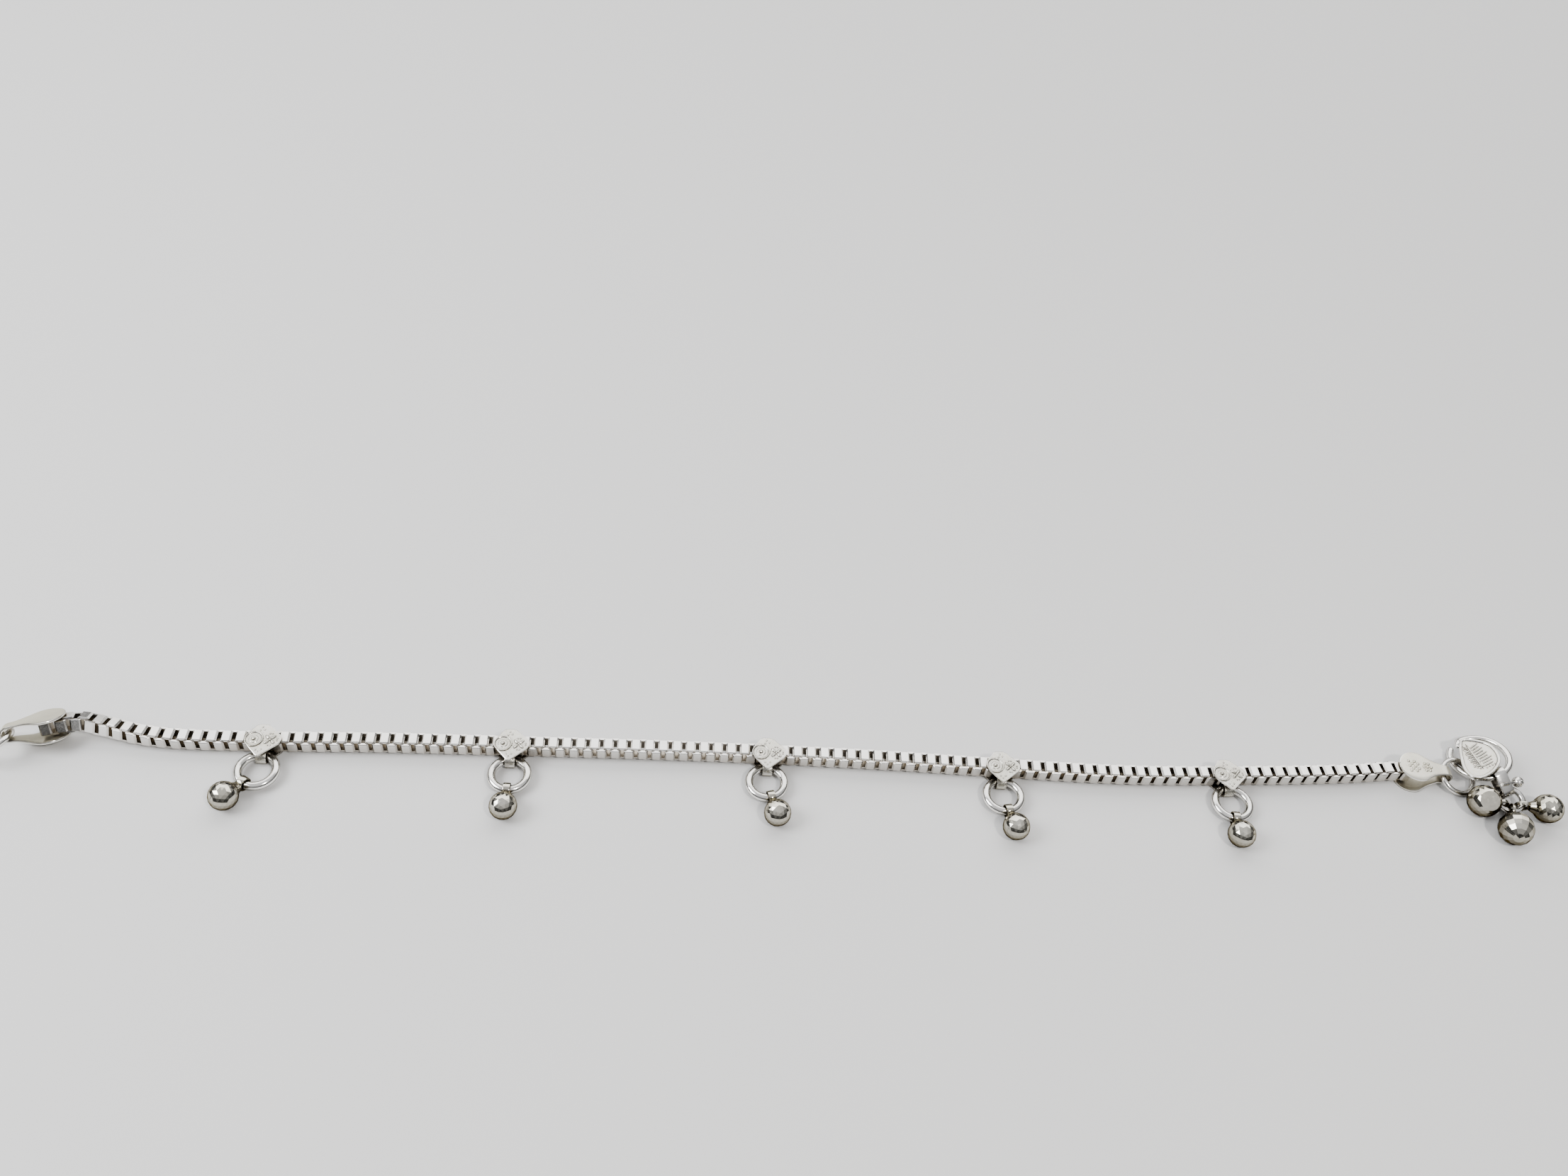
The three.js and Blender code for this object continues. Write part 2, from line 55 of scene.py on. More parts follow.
# %% Camera
MM = 0.001
ORIGIN = Vector((-4.946, 3.503, 0.013))
CAMERA_PLACE = Vector((-18.37, -122.69, 177.3)) + ORIGIN
CAMERA_HEADING = math.radians(7.6)
CAMERA_DOWN = math.radians(47.5)
CAMERA_TIP = math.radians(8)
PICTURE_ANGLE = math.radians(62)
SENSOR = 36


def look_matrix():
    """The camera's place and its three axes as one matrix."""
    forward = Vector((
        math.cos(CAMERA_DOWN) * math.sin(CAMERA_HEADING),
        math.cos(CAMERA_DOWN) * math.cos(CAMERA_HEADING),
        -math.sin(CAMERA_DOWN),
    ))
    level = forward.cross(Vector((0, 0, 1))).normalized()
    upright = level.cross(forward)
    right = math.cos(CAMERA_TIP) * level + math.sin(CAMERA_TIP) * upright
    up = right.cross(forward)
    turn = Matrix((right, up, -forward)).transposed().to_4x4()
    return Matrix.Translation(CAMERA_PLACE * MM) @ turn


camera_data = bpy.data.cameras.new("photo_camera")
camera_data.sensor_width = SENSOR
camera_data.lens = SENSOR / 2 / math.tan(PICTURE_ANGLE / 2)
camera_data.clip_start = 0.005
camera = bpy.data.objects.new("photo_camera", camera_data)
camera.matrix_world = look_matrix()
bpy.context.collection.objects.link(camera)
bpy.context.scene.camera = camera
print(f"camera lens {camera_data.lens:.2f} mm at {[round(v) for v in CAMERA_PLACE]} mm")

# %% [markdown]
# ## Joining nodes
# In the editor a shader is drawn node by node. A script does the same few steps again and again:
# it joins two sockets, adds or multiplies two values, or moves a value from one range to
# another. Each could be written out every time, but as a short helper it leaves the cells below
# reading like the tree they build.

# %% Node helpers


def connect(tree, source, target):
    """Joins an output socket to an input socket."""
    tree.links.new(source, target)


def math_node(tree, operation, a, b):
    """Adds or multiplies two values, or the like. Each is a number or a socket."""
    node = tree.nodes.new("ShaderNodeMath")
    node.operation = operation
    for socket, value in zip(node.inputs, (a, b)):
        if isinstance(value, (int, float)):
            socket.default_value = value
        else:
            connect(tree, value, socket)
    return node.outputs[0]


def range_node(tree, value, low, high, to_low=0.0, to_high=1.0):
    """Moves a value from one range to another and stops it at the ends."""
    node = tree.nodes.new("ShaderNodeMapRange")
    connect(tree, value, node.inputs["Value"])
    for name, number in zip(("From Min", "From Max", "To Min", "To Max"),
                            (low, high, to_low, to_high)):
        node.inputs[name].default_value = number
    return node.outputs[0]


# %% [markdown]
# ## The skin of worked silver
# All the pieces are one metal with different finishes. A shader node group holds what they
# share, so that it is built once: a slow drift of tone, fine handling marks, a stipple of
# chosen size, and painted shade that darkens where surfaces come close and on the side towards
# the table, standing in part for tarnish in the hollows. Each material places the group with its
# own values. The group only puts out masks and heights, and the Principled shader stays in the
# material.

# %% Silver skin node group
# waves of noise in a metre
DRIFT_SCALE, MARKS_SCALE = 260, 2600
PER_METRE = 1000  # a stipple is given in grains per millimetre
SHADE_FADE = 0.65  # how far openness falls from bare metal to full painted shade


def make_silver_skin():
    """The node group: sockets in, masks and a height out."""
    tree = bpy.data.node_groups.new("silver_skin", "ShaderNodeTree")
    sockets = {
        "Stipple Scale": 4.0, "Stipple Depth": 0.0, "Mark Depth": 0.3, "Shade Reach": 0.0006,
        "Shade Edge": 0.85,
    }
    for name, value in sockets.items():
        socket = tree.interface.new_socket(name, in_out="INPUT", socket_type="NodeSocketFloat")
        socket.default_value = value
    for name in ("Tone", "Gloss", "Tarnish And Shade", "Height"):
        tree.interface.new_socket(name, in_out="OUTPUT", socket_type="NodeSocketFloat")
    given = tree.nodes.new("NodeGroupInput")
    result = tree.nodes.new("NodeGroupOutput")
    place = tree.nodes.new("ShaderNodeTexCoord").outputs["Object"]

    def noise(scale, detail, rough=0.5):
        node = tree.nodes.new("ShaderNodeTexNoise")
        node.inputs["Scale"].default_value = scale
        node.inputs["Detail"].default_value = detail
        node.inputs["Roughness"].default_value = rough
        connect(tree, place, node.inputs["Vector"])
        return node.outputs["Fac"]

    drift = noise(DRIFT_SCALE, 3)
    marks = noise(MARKS_SCALE, 4, 0.7)
    stipple = tree.nodes.new("ShaderNodeTexVoronoi")
    connect(tree, place, stipple.inputs["Vector"])
    connect(tree, math_node(tree, "MULTIPLY", given.outputs["Stipple Scale"], PER_METRE),
            stipple.inputs["Scale"])
    grains = range_node(tree, stipple.outputs["Distance"], 0.1, 0.75, 1.0, 0.0)
    # painted shade: ambient occlusion darkens hollows and what faces the table, standing in part
    # for tarnish
    near = tree.nodes.new("ShaderNodeAmbientOcclusion")
    near.samples = 6
    connect(tree, given.outputs["Shade Reach"], near.inputs["Distance"])
    # a place less open than the given edge starts to darken with painted shade
    closed = math_node(tree, "SUBTRACT", given.outputs["Shade Edge"], near.outputs["AO"])
    tarnish_and_shade = range_node(tree, math_node(tree, "DIVIDE", closed, SHADE_FADE), 0, 1)
    height = math_node(
        tree, "ADD",
        math_node(tree, "MULTIPLY", grains, given.outputs["Stipple Depth"]),
        math_node(tree, "MULTIPLY", marks, given.outputs["Mark Depth"]),
    )
    connect(tree, range_node(tree, drift, 0.3, 0.7), result.inputs["Tone"])
    connect(tree, range_node(tree, marks, 0.3, 0.75), result.inputs["Gloss"])
    connect(tree, tarnish_and_shade, result.inputs["Tarnish And Shade"])
    connect(tree, height, result.inputs["Height"])
    return tree


silver_skin = make_silver_skin()
print("silver skin outputs:", [s.name for s in silver_skin.interface.items_tree
                               if s.in_out == "OUTPUT"])

# %% [markdown]
# ## Five finishes
# Polished silver for the wire, a duller one for the chain, satin for the folded caps, stippled
# for the stamped faces, and cut silver for the bells, which the photograph shows a little
# warmer. One material with painted masks could do it all, but separate finishes are easier to
# change. Each is a row of values, and a loop builds a material from each row: two colours that
# the slow drift blends, a colour of painted shade for the recesses and the side towards the
# table, which stands in part for tarnish in the hollows, and a roughness that runs between two
# limits with the handling marks. Metal turns white where it is seen at a low angle. The edge
# colour holds that back, so that a bell's rim stays dark on a pale floor, as in the photograph.

# %% Finishes
# stipple: grains per millimetre and depth. The pair before edge: the painted shade's reach in
# metres, and how open a place stays bare of it
FINISHES = {
    "polished_silver": dict(
        bright=(0.95, 0.94, 0.915), soft=(0.86, 0.84, 0.79), tarnish_and_shade=(0.20, 0.175, 0.14),
        rough=(0.12, 0.24), bump=0.10, stipple=(3.0, 0.0), marks=0.35, tarnish_and_shade_at=(0.0022, 0.85),
        edge=(0.42, 0.41, 0.38)),
    "chain_silver": dict(
        bright=(0.95, 0.945, 0.93), soft=(0.88, 0.865, 0.83), tarnish_and_shade=(0.37, 0.33, 0.275),
        rough=(0.16, 0.28), bump=0.14, stipple=(3.0, 0.0), marks=0.5, tarnish_and_shade_at=(0.0055, 0.98),
        edge=(0.50, 0.48, 0.44)),
    "satin_silver": dict(
        bright=(0.83, 0.805, 0.70), soft=(0.71, 0.685, 0.58), tarnish_and_shade=(0.24, 0.215, 0.16),
        rough=(0.28, 0.40), bump=0.16, stipple=(9.0, 0.25), marks=0.4, tarnish_and_shade_at=(0.0045, 0.9),
        edge=(0.85, 0.83, 0.74)),
    "stamped_silver": dict(
        bright=(0.84, 0.82, 0.76), soft=(0.70, 0.68, 0.60), tarnish_and_shade=(0.14, 0.12, 0.09),
        rough=(0.18, 0.32), bump=0.24, stipple=(9.0, 1.0), marks=0.35, tarnish_and_shade_at=(0.0016, 1.04),
        edge=(0.40, 0.39, 0.34)),
    # cut silver's long reach paints shade over a bell's whole lower side, towards the table
    "cut_silver": dict(
        bright=(0.93, 0.905, 0.82), soft=(0.82, 0.785, 0.66), tarnish_and_shade=(0.10, 0.085, 0.055),
        rough=(0.08, 0.16), bump=0.08, stipple=(3.0, 0.0), marks=0.4, tarnish_and_shade_at=(0.0300, 1.10),
        edge=(0.22, 0.20, 0.16)),
}
BUMP_HEIGHT = 0.00006  # metres


def mix_colour(tree, factor, a, b):
    """Blends two colours, each a plain one or a socket."""
    node = tree.nodes.new("ShaderNodeMix")
    node.data_type = "RGBA"
    connect(tree, factor, node.inputs["Factor"])
    for name, value in (("A", a), ("B", b)):
        socket = [s for s in node.inputs if s.name == name and s.type == "RGBA"][0]
        if isinstance(value, tuple):
            socket.default_value = (*value, 1)
        else:
            connect(tree, value, socket)
    return [s for s in node.outputs if s.type == "RGBA"][0]


def make_finish(name, row):
    """A metal material from one row of FINISHES."""
    material = bpy.data.materials.new(name)
    material.use_nodes = True
    tree = material.node_tree
    shader = tree.nodes["Principled BSDF"]
    shader.inputs["Metallic"].default_value = 1
    shader.inputs["Specular Tint"].default_value = (*row["edge"], 1)
    skin = tree.nodes.new("ShaderNodeGroup")
    skin.node_tree = silver_skin
    given = zip(("Stipple Scale", "Stipple Depth", "Mark Depth", "Shade Reach", "Shade Edge"),
                (*row["stipple"], row["marks"], *row["tarnish_and_shade_at"]))
    for socket, value in given:
        skin.inputs[socket].default_value = value
    toned = mix_colour(tree, skin.outputs["Tone"], row["bright"], row["soft"])
    # the base colour turns to the painted shade's colour where the occlusion mask rises
    shaded_base = mix_colour(tree, skin.outputs["Tarnish And Shade"], toned, row["tarnish_and_shade"])
    connect(tree, shaded_base, shader.inputs["Base Color"])
    rough = range_node(tree, skin.outputs["Gloss"], 0, 1, *row["rough"])
    connect(tree, rough, shader.inputs["Roughness"])
    bump = tree.nodes.new("ShaderNodeBump")
    bump.inputs["Strength"].default_value = row["bump"]
    bump.inputs["Distance"].default_value = BUMP_HEIGHT
    connect(tree, skin.outputs["Height"], bump.inputs["Height"])
    connect(tree, bump.outputs["Normal"], shader.inputs["Normal"])
    return material


materials = {name: make_finish(name, row) for name, row in FINISHES.items()}
print("finishes:", ", ".join(materials))

# %% [markdown]
# ## Finishing a piece
# Every piece ends the same way, so one helper does it: the mesh goes from millimetres to
# metres and to the part's own origin, its faces are turned outwards, and the object is left
# unturned at the origin. A face keeps the shading it was made with, flat for a cut facet and
# smooth for a bent sheet, and edges sharper than a set angle stay crisp. The helper also says
# which CAD solid the piece stands for and what it rides on.

# %% Finish a piece
TO_ROW = Matrix.Translation(ORIGIN * MM) @ Matrix.Scale(MM, 4)
# the record has three finishes, so two of the five are kept in another's slot
RIM = 1  # the material slot of a piece's polished rims
MOST_SMOOTH_CORNERS = 8


def as_mesh(bm, name):
    """Keeps a bmesh as a mesh that can be copied, and frees it."""
    mesh = bpy.data.meshes.new(name)
    bm.to_mesh(mesh)
    bm.free()
    return mesh


def finish_piece(bm, name, finish, stands_for, crisp=35, trim=()):
    """Makes a bmesh in millimetres an object that rides and stands for CAD solids."""
    bmesh.ops.transform(bm, matrix=TO_ROW, verts=bm.verts)
    bmesh.ops.recalc_face_normals(bm, faces=bm.faces)
    for edge in bm.edges:
        edge.smooth = not edge.is_manifold or edge.calc_face_angle() < math.radians(crisp)
    mesh = as_mesh(bm, name)
    for each in (finish, *trim):
        mesh.materials.append(materials[each])
    piece = bpy.data.objects.new(name, mesh)
    bpy.context.collection.objects.link(piece)
    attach(piece, "root")
    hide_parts(*stands_for)
    print(f"{name}: {len(mesh.polygons)} faces, {finish}")
    return piece


def smoothed(bm):
    """Shades every face smooth but the flat many-sided ones."""
    for face in bm.faces:
        face.smooth = len(face.verts) <= MOST_SMOOTH_CORNERS
    return bm


def add_to(bm, part, place=Matrix()):
    """Adds a bmesh part to another, at a place, and frees the part."""
    bmesh.ops.transform(part, matrix=place, verts=part.verts)
    holder = as_mesh(part, "holder")
    bm.from_mesh(holder)
    bpy.data.meshes.remove(holder)


# %% [markdown]
# ## The chain's way over the table
# The chain doesn't lie quite straight. Its CAD solids follow a smooth curve through a short
# table of places, and the links here follow the same one. A Curve modifier could bend a
# straight chain, but it would bend each link too, and a real link stays square. So the curve
# is measured, and each link is set on it whole.

# %% Chain curve
LINK_SPACING = 1.1
STRIP_THICKNESS = 0.31
CHAIN_SIDE = 2.7
PLAY = 0.12  # the gap between pieces that pass each other
STRIP_WIDTH = CHAIN_SIDE - 2 * STRIP_THICKNESS - PLAY
LINK_BITE = 0.06  # how far touching links are fused
LINK_LENGTH = LINK_SPACING + 2 * STRIP_THICKNESS - LINK_BITE
LINKS_LEFT, LINKS_RIGHT = 103, 100
MEETING_STEP = LINK_SPACING - LINK_BITE - PLAY  # between the two halves' last links
SHEET = 0.34
# from the chain's middle to a folded sheet's inner face, and to its outer face or the table
CHAIN_CLEAR = CHAIN_SIDE / 2 + PLAY
CHAIN_RISE = CHAIN_CLEAR + SHEET

# x along, y across, lift over lying flat, roll in degrees
CHAIN_WAY = [
    (-114.5, -0.28, 1.24, -30), (-111.5, 0.69, 1.24, -30), (-108.5, 1.4, 1.1, -28),
    (-104.5, 0.95, 0.6, -20), (-100.0, 0.1, 0.2, -9), (-94.5, -0.45, 0.05, 0),
    (-80.3, -0.45, 0, 0), (-62.4, 0.0, 0, 0), (-42.1, 0.1, 0, 0), (-17.3, 0.15, 0, 0),
    (-0.9, -0.05, 0, 0), (19.9, -0.6, 0, 0), (37.6, -1.35, 0, 0), (58.0, -2.0, 0, 0),
    (75.9, -1.6, 0, 0), (98.0, -0.45, 0, 0), (106.2, 0.35, 0, 0), (112.5, 0.4, 0, 0),
]
WAY_POINTS = [Vector((x, y, CHAIN_RISE + lift)) for x, y, lift, _ in CHAIN_WAY]
CURVE_STEPS = 4000


def way_point(t):
    """A place on a centripetal spline through the table's places, t from 0 to 1."""
    last = len(WAY_POINTS) - 1
    index = min(int(t * last), last - 1)
    weight = t * last - index
    p1, p2 = WAY_POINTS[index], WAY_POINTS[index + 1]
    p0 = WAY_POINTS[index - 1] if index > 0 else 2 * p1 - p2
    p3 = WAY_POINTS[index + 2] if index + 2 <= last else 2 * p2 - p1
    d0, d1, d2 = (math.sqrt((b - a).length) for a, b in ((p0, p1), (p1, p2), (p2, p3)))
    t1 = ((p1 - p0) / d0 - (p2 - p0) / (d0 + d1) + (p2 - p1) / d1) * d1
    t2 = ((p2 - p1) / d1 - (p3 - p1) / (d1 + d2) + (p3 - p2) / d2) * d1
    c2 = 3 * (p2 - p1) - 2 * t1 - t2
    c3 = 2 * (p1 - p2) + t1 + t2
    return p1 + weight * (t1 + weight * (c2 + weight * c3))


curve_points = [way_point(i / CURVE_STEPS) for i in range(CURVE_STEPS + 1)]
curve_lengths = [0.0]
for before, after in zip(curve_points, curve_points[1:]):
    curve_lengths.append(curve_lengths[-1] + (after - before).length)
print(f"chain curve {curve_lengths[-1]:.1f} mm long")

# %% [markdown]
# ## A place along the chain
# Links and plates have to sit square on the chain wherever it runs. An empty that follows the
# curve as a path could show each place in turn, but a matrix is easier to use in a loop. One
# helper finds the place and turn at a length along the chain, by halving the row of measured
# lengths. Another finds the length at which the chain passes a place across the table.

# %% A place along the chain


def roll_at(x):
    """The chain's roll in degrees, eased from one row of the table to the next."""
    after = next((i for i, row in enumerate(CHAIN_WAY) if row[0] >= x), len(CHAIN_WAY) - 1)
    after = max(1, after)
    (x0, _, _, roll0), (x1, _, _, roll1) = CHAIN_WAY[after - 1], CHAIN_WAY[after]
    share = min(1, max(0, (x - x0) / (x1 - x0)))
    return roll0 + (roll1 - roll0) * share * share * (3 - 2 * share)


def chain_frame(length):
    """The place and turn at a length along the chain: x along it, z up after its roll."""
    low, high = 0, CURVE_STEPS
    while high - low > 1:
        middle = (low + high) // 2
        low, high = (middle, high) if curve_lengths[middle] <= length else (low, middle)
    share = (length - curve_lengths[low]) / (curve_lengths[high] - curve_lengths[low])
    at = curve_points[low].lerp(curve_points[high], share)
    along = (curve_points[high] - curve_points[low]).normalized()
    across = Vector((0, 0, 1)).cross(along).normalized()
    across.rotate(Quaternion(along, math.radians(roll_at(at.x))))
    turn = Matrix((along, across, along.cross(across))).transposed().to_4x4()
    return Matrix.Translation(at) @ turn


def length_at(x):
    """The length along the chain at which it passes a place across the table."""
    index = next(i for i, point in enumerate(curve_points) if point.x >= x)
    a, b = curve_points[index - 1], curve_points[index]
    share = (x - a.x) / (b.x - a.x)
    return curve_lengths[index - 1] + share * (curve_lengths[index] - curve_lengths[index - 1])


ends = [chain_frame(length).translation for length in (0, curve_lengths[-1])]
print("the chain runs from", *[[round(v, 1) for v in end] for end in ends])

# %% [markdown]
# ## The links
# A box-chain link is a flat strip bent into a square ring. It starts as a cube with its top
# and bottom taken off, which leaves four walls. The corners are bevelled as the bend rounds
# them, Solidify gives the strip its thickness, and the rims get a small bevel, because the
# light that catches there is what makes a chain glitter. One link is made, then copied 203
# times, each standing at a right angle to the last.

# %% Links
BEND_ROUND = 0.26
SHOWN_STRIP = 0.42  # over the strip's own thickness, to make up for its rounded rims
RIM_ROUND = 0.08
SLACK = 0.01  # for picking edges by their place
RIGHT_ANGLE = math.pi / 2


def make_link():
    """One square ring of strip, open along z."""
    bm = bmesh.new()
    bmesh.ops.create_cube(
        bm, size=1, matrix=Matrix.Diagonal((LINK_LENGTH, CHAIN_SIDE, STRIP_WIDTH, 1)))
    ends = [f for f in bm.faces if abs(f.normal.z) > 0.9]
    bmesh.ops.delete(bm, geom=ends, context="FACES_ONLY")
    bends = [e for e in bm.edges if abs((e.verts[0].co - e.verts[1].co).z) > 0.1]
    bmesh.ops.bevel(bm, geom=bends, offset=BEND_ROUND, offset_type="OFFSET", segments=1,
                    profile=0.5, affect="EDGES", material=-1)
    bmesh.ops.recalc_face_normals(bm, faces=bm.faces)
    bmesh.ops.solidify(bm, geom=bm.faces[:], thickness=SHOWN_STRIP)
    reach_x = LINK_LENGTH / 2 - SLACK
    reach_y = CHAIN_SIDE / 2 - SLACK

    def on_outside(edge):
        return all(abs(v.co.x) + BEND_ROUND > reach_x or abs(v.co.y) + BEND_ROUND > reach_y
                   for v in edge.verts)

    def is_rim(edge):
        """A rim has one face that looks along z and one that looks across it."""
        return len(edge.link_faces) == 2 and 0.9 < sum(
            abs(f.normal.z) for f in edge.link_faces) < 1.1

    rims = [e for e in bm.edges if on_outside(e) and is_rim(e)]
    bmesh.ops.bevel(bm, geom=rims, offset=RIM_ROUND, offset_type="OFFSET", segments=1,
                    profile=0.5, affect="EDGES", material=-1)
    return bm


def make_chain_half(name, node, count, first, start):
    """Copies the link along the curve. Links with an even number are turned a quarter."""
    link_mesh = as_mesh(make_link(), "one_link")
    chain = bmesh.new()
    quarter = Matrix.Rotation(RIGHT_ANGLE, 4, "X")
    for i in range(count):
        old = len(chain.verts)
        chain.from_mesh(link_mesh)
        chain.verts.ensure_lookup_table()
        place = chain_frame(start + i * LINK_SPACING)
        if (first + i) % 2 == 0:
            place = place @ quarter
        bmesh.ops.transform(chain, matrix=place, verts=chain.verts[old:])
    print(f"one link has {len(link_mesh.polygons)} faces")
    bpy.data.meshes.remove(link_mesh)
    return finish_piece(chain, name, "chain_silver", [node], crisp=50)


STATION_X = [-80.4, -42.1, -0.9, 37.6, 75.9]
meeting = length_at(STATION_X[2])
left_start = meeting - MEETING_STEP / 2 - (LINKS_LEFT - 1) * LINK_SPACING
make_chain_half("chain_links_left", "chain_left", LINKS_LEFT, 1, left_start)
make_chain_half("chain_links_right", "chain_right", LINKS_RIGHT, 0,
                meeting + MEETING_STEP / 2)

# %% [markdown]
# ## Round wire
# Each end cap holds a plain closed ring of round wire, and the three larger bells share another.
# Such a ring is a circle swept round an axis. Blender has a torus primitive, but the Spin
# operator also makes the part-turn of a hook and the fold of a sheet, so it is used for all
# three. A full turn has its two ends merged. The ends of a part turn are filled.

# %% Round wire and how it leans
END_RING, END_WIRE = 2.95, 0.5
FULL_TURN = 360
TIP_ROUND = 0.6  # share of the wire's radius


def make_wire_ring(radius, wire, sides=12, steps=48, start=0, sweep=FULL_TURN):
    """Round wire bent about z, from a start through a sweep in degrees."""
    bm = bmesh.new()
    bmesh.ops.create_circle(
        bm, cap_ends=False, radius=wire, segments=sides,
        matrix=Matrix.Rotation(math.radians(start), 4, "Z")
        @ Matrix.Translation((radius, 0, 0)) @ Matrix.Rotation(RIGHT_ANGLE, 4, "X"))
    bmesh.ops.spin(bm, geom=bm.verts[:] + bm.edges[:], cent=(0, 0, 0), axis=(0, 0, 1),
                   angle=math.radians(sweep), steps=steps, use_merge=sweep == FULL_TURN)
    if sweep != FULL_TURN:
        bmesh.ops.holes_fill(bm, edges=[e for e in bm.edges if e.is_boundary], sides=sides)
        tips = [e for e in bm.edges if len({len(f.verts) for f in e.link_faces}) == 2]
        bmesh.ops.bevel(bm, geom=tips, offset=wire * TIP_ROUND, offset_type="OFFSET", segments=3,
                        profile=0.5, affect="EDGES", material=-1)
    return smoothed(bm)


def leaning_place(x, y, z, radius, right, far):
    """Where a ring lies whose right and far sides lift by so much."""
    lift = math.hypot(right, far)
    lean = math.asin(lift / radius)
    normal = Vector((-right, -far, 0)) * (math.sin(lean) / lift)
    normal.z = math.cos(lean)
    turn = Vector((0, 0, 1)).rotation_difference(normal).to_matrix().to_4x4()
    return Matrix.Translation((x, y, z)) @ turn


# x, y, z, radius, lift of the right side, lift of the far side
END_RINGS = {
    "end_ring_left": (-120.37, -2.64, 2.32, END_RING, 1.4, -1.0),
    "end_ring_right": (117.9, -0.25, 1.52, END_RING, -0.45, 0.85),
}
CLUSTER = (125.5, -4.75, 1.55, 2.05, 0.3, 0.45)
for node, lie in END_RINGS.items():
    ring = make_wire_ring(END_RING, END_WIRE)
    bmesh.ops.transform(ring, matrix=leaning_place(*lie), verts=ring.verts)
    finish_piece(ring, f"{node}_wire", "polished_silver", [node])
cluster_ring = make_wire_ring(CLUSTER[3], END_WIRE, steps=40)
bmesh.ops.transform(cluster_ring, matrix=leaning_place(*CLUSTER), verts=cluster_ring.verts)
finish_piece(cluster_ring, "cluster_ring_wire", "polished_silver", ["cluster_ring"])

# %% [markdown]
# ## The stamped plates
# Each plate is one piece of sheet folded over the chain's far side. Its upper leaf has rounded
# corners, a raised ring with a bead in it, and a small four-petalled flower. A plate could be
# sculpted, but a stamped one is crisp and all five are alike, so it is built once from simple
# shapes: the outline's corners are bevelled as points, the leaf is extruded to the sheet's
# thickness, and its edges get a small round.

# %% Sheet, lumps and rolled strips
EDGE_ROUND = 0.07
RIM_ANGLE = 1.2  # faces of a strip that meet more sharply than this, in radians, are its edges
LEVEL = 1e-5  # an edge whose ends differ in height by less than this is level


def verts_of(geom):
    """The points among what an operator gives back."""
    return [v for v in geom if isinstance(v, bmesh.types.BMVert)]


def make_leaf(outline, low, high, round_by):
    """A flat leaf of sheet between two heights, with rounded corners and edges."""
    bm = bmesh.new()
    corners = [bm.verts.new((x, y, low)) for x, y in outline]
    bm.faces.new(corners)
    bmesh.ops.bevel(bm, geom=bm.verts[:], offset=round_by, offset_type="OFFSET", segments=4,
                    profile=0.5, affect="VERTICES", material=-1)
    top = bmesh.ops.extrude_face_region(bm, geom=bm.faces[:])["geom"]
    bmesh.ops.translate(bm, vec=(0, 0, high - low), verts=verts_of(top))
    bmesh.ops.recalc_face_normals(bm, faces=bm.faces)
    rims = [e for e in bm.edges if abs(e.verts[0].co.z - e.verts[1].co.z) < LEVEL]
    bmesh.ops.bevel(bm, geom=rims, offset=EDGE_ROUND, offset_type="OFFSET", segments=2,
                    profile=0.5, affect="EDGES", material=RIM)
    return smoothed(bm)


def make_lump(size, at, turn=0.0, segments=14):
    """A low stamped lump: a ball flattened to a length, width and height."""
    bm = bmesh.new()
    bmesh.ops.create_uvsphere(bm, u_segments=segments, v_segments=8, radius=1)
    place = Matrix.Translation(at) @ Matrix.Rotation(turn, 4, "Z") @ Matrix.Diagonal((*size, 1))
    bmesh.ops.transform(bm, matrix=place, verts=bm.verts)
    return smoothed(bm)


def thickened(bm, thickness, round_by):
    """Gives a bent strip its thickness, from its outside in, and rounds its edges."""
    bmesh.ops.recalc_face_normals(bm, faces=bm.faces)
    if sum(f.normal.dot(f.calc_center_median()) for f in bm.faces) < 0:
        bmesh.ops.reverse_faces(bm, faces=bm.faces)
    bmesh.ops.solidify(bm, geom=bm.faces[:], thickness=thickness)
    rims = [e for e in bm.edges if len(e.link_faces) == 2 and e.calc_face_angle(0) > RIM_ANGLE]
    bmesh.ops.bevel(bm, geom=rims, offset=round_by, offset_type="OFFSET", segments=2,
                    profile=0.5, affect="EDGES", material=-1)
    return smoothed(bm)


def make_rolled_strip(centre, radius, width, start, sweep, steps=14):
    """A strip of sheet rolled about an axis along x: the eye and the fold of a plate."""
    bm = bmesh.new()
    left = bm.verts.new((-width / 2, radius, 0))
    right = bm.verts.new((width / 2, radius, 0))
    bm.edges.new((left, right))
    bmesh.ops.transform(bm, matrix=Matrix.Rotation(math.radians(start), 4, "X"), verts=bm.verts)
    bmesh.ops.spin(bm, geom=bm.verts[:] + bm.edges[:], cent=(0, 0, 0), axis=(1, 0, 0),
                   angle=math.radians(sweep), steps=steps)
    thickened(bm, SHEET, EDGE_ROUND)
    bmesh.ops.translate(bm, vec=centre, verts=bm.verts)
    return bm


# %% [markdown]
# ## The stamped work
# A die has struck a round boss and a small flower into each plate. The boss could be a Spin of
# its profile, but insets of a disc's top are quicker to change, because each ring is one row:
# how far it is lifted, and how wide it is. Petals and dots are flattened balls sunk into the
# leaf, for they are soft swellings. One plate is made, then copied to the five stations along
# the chain.

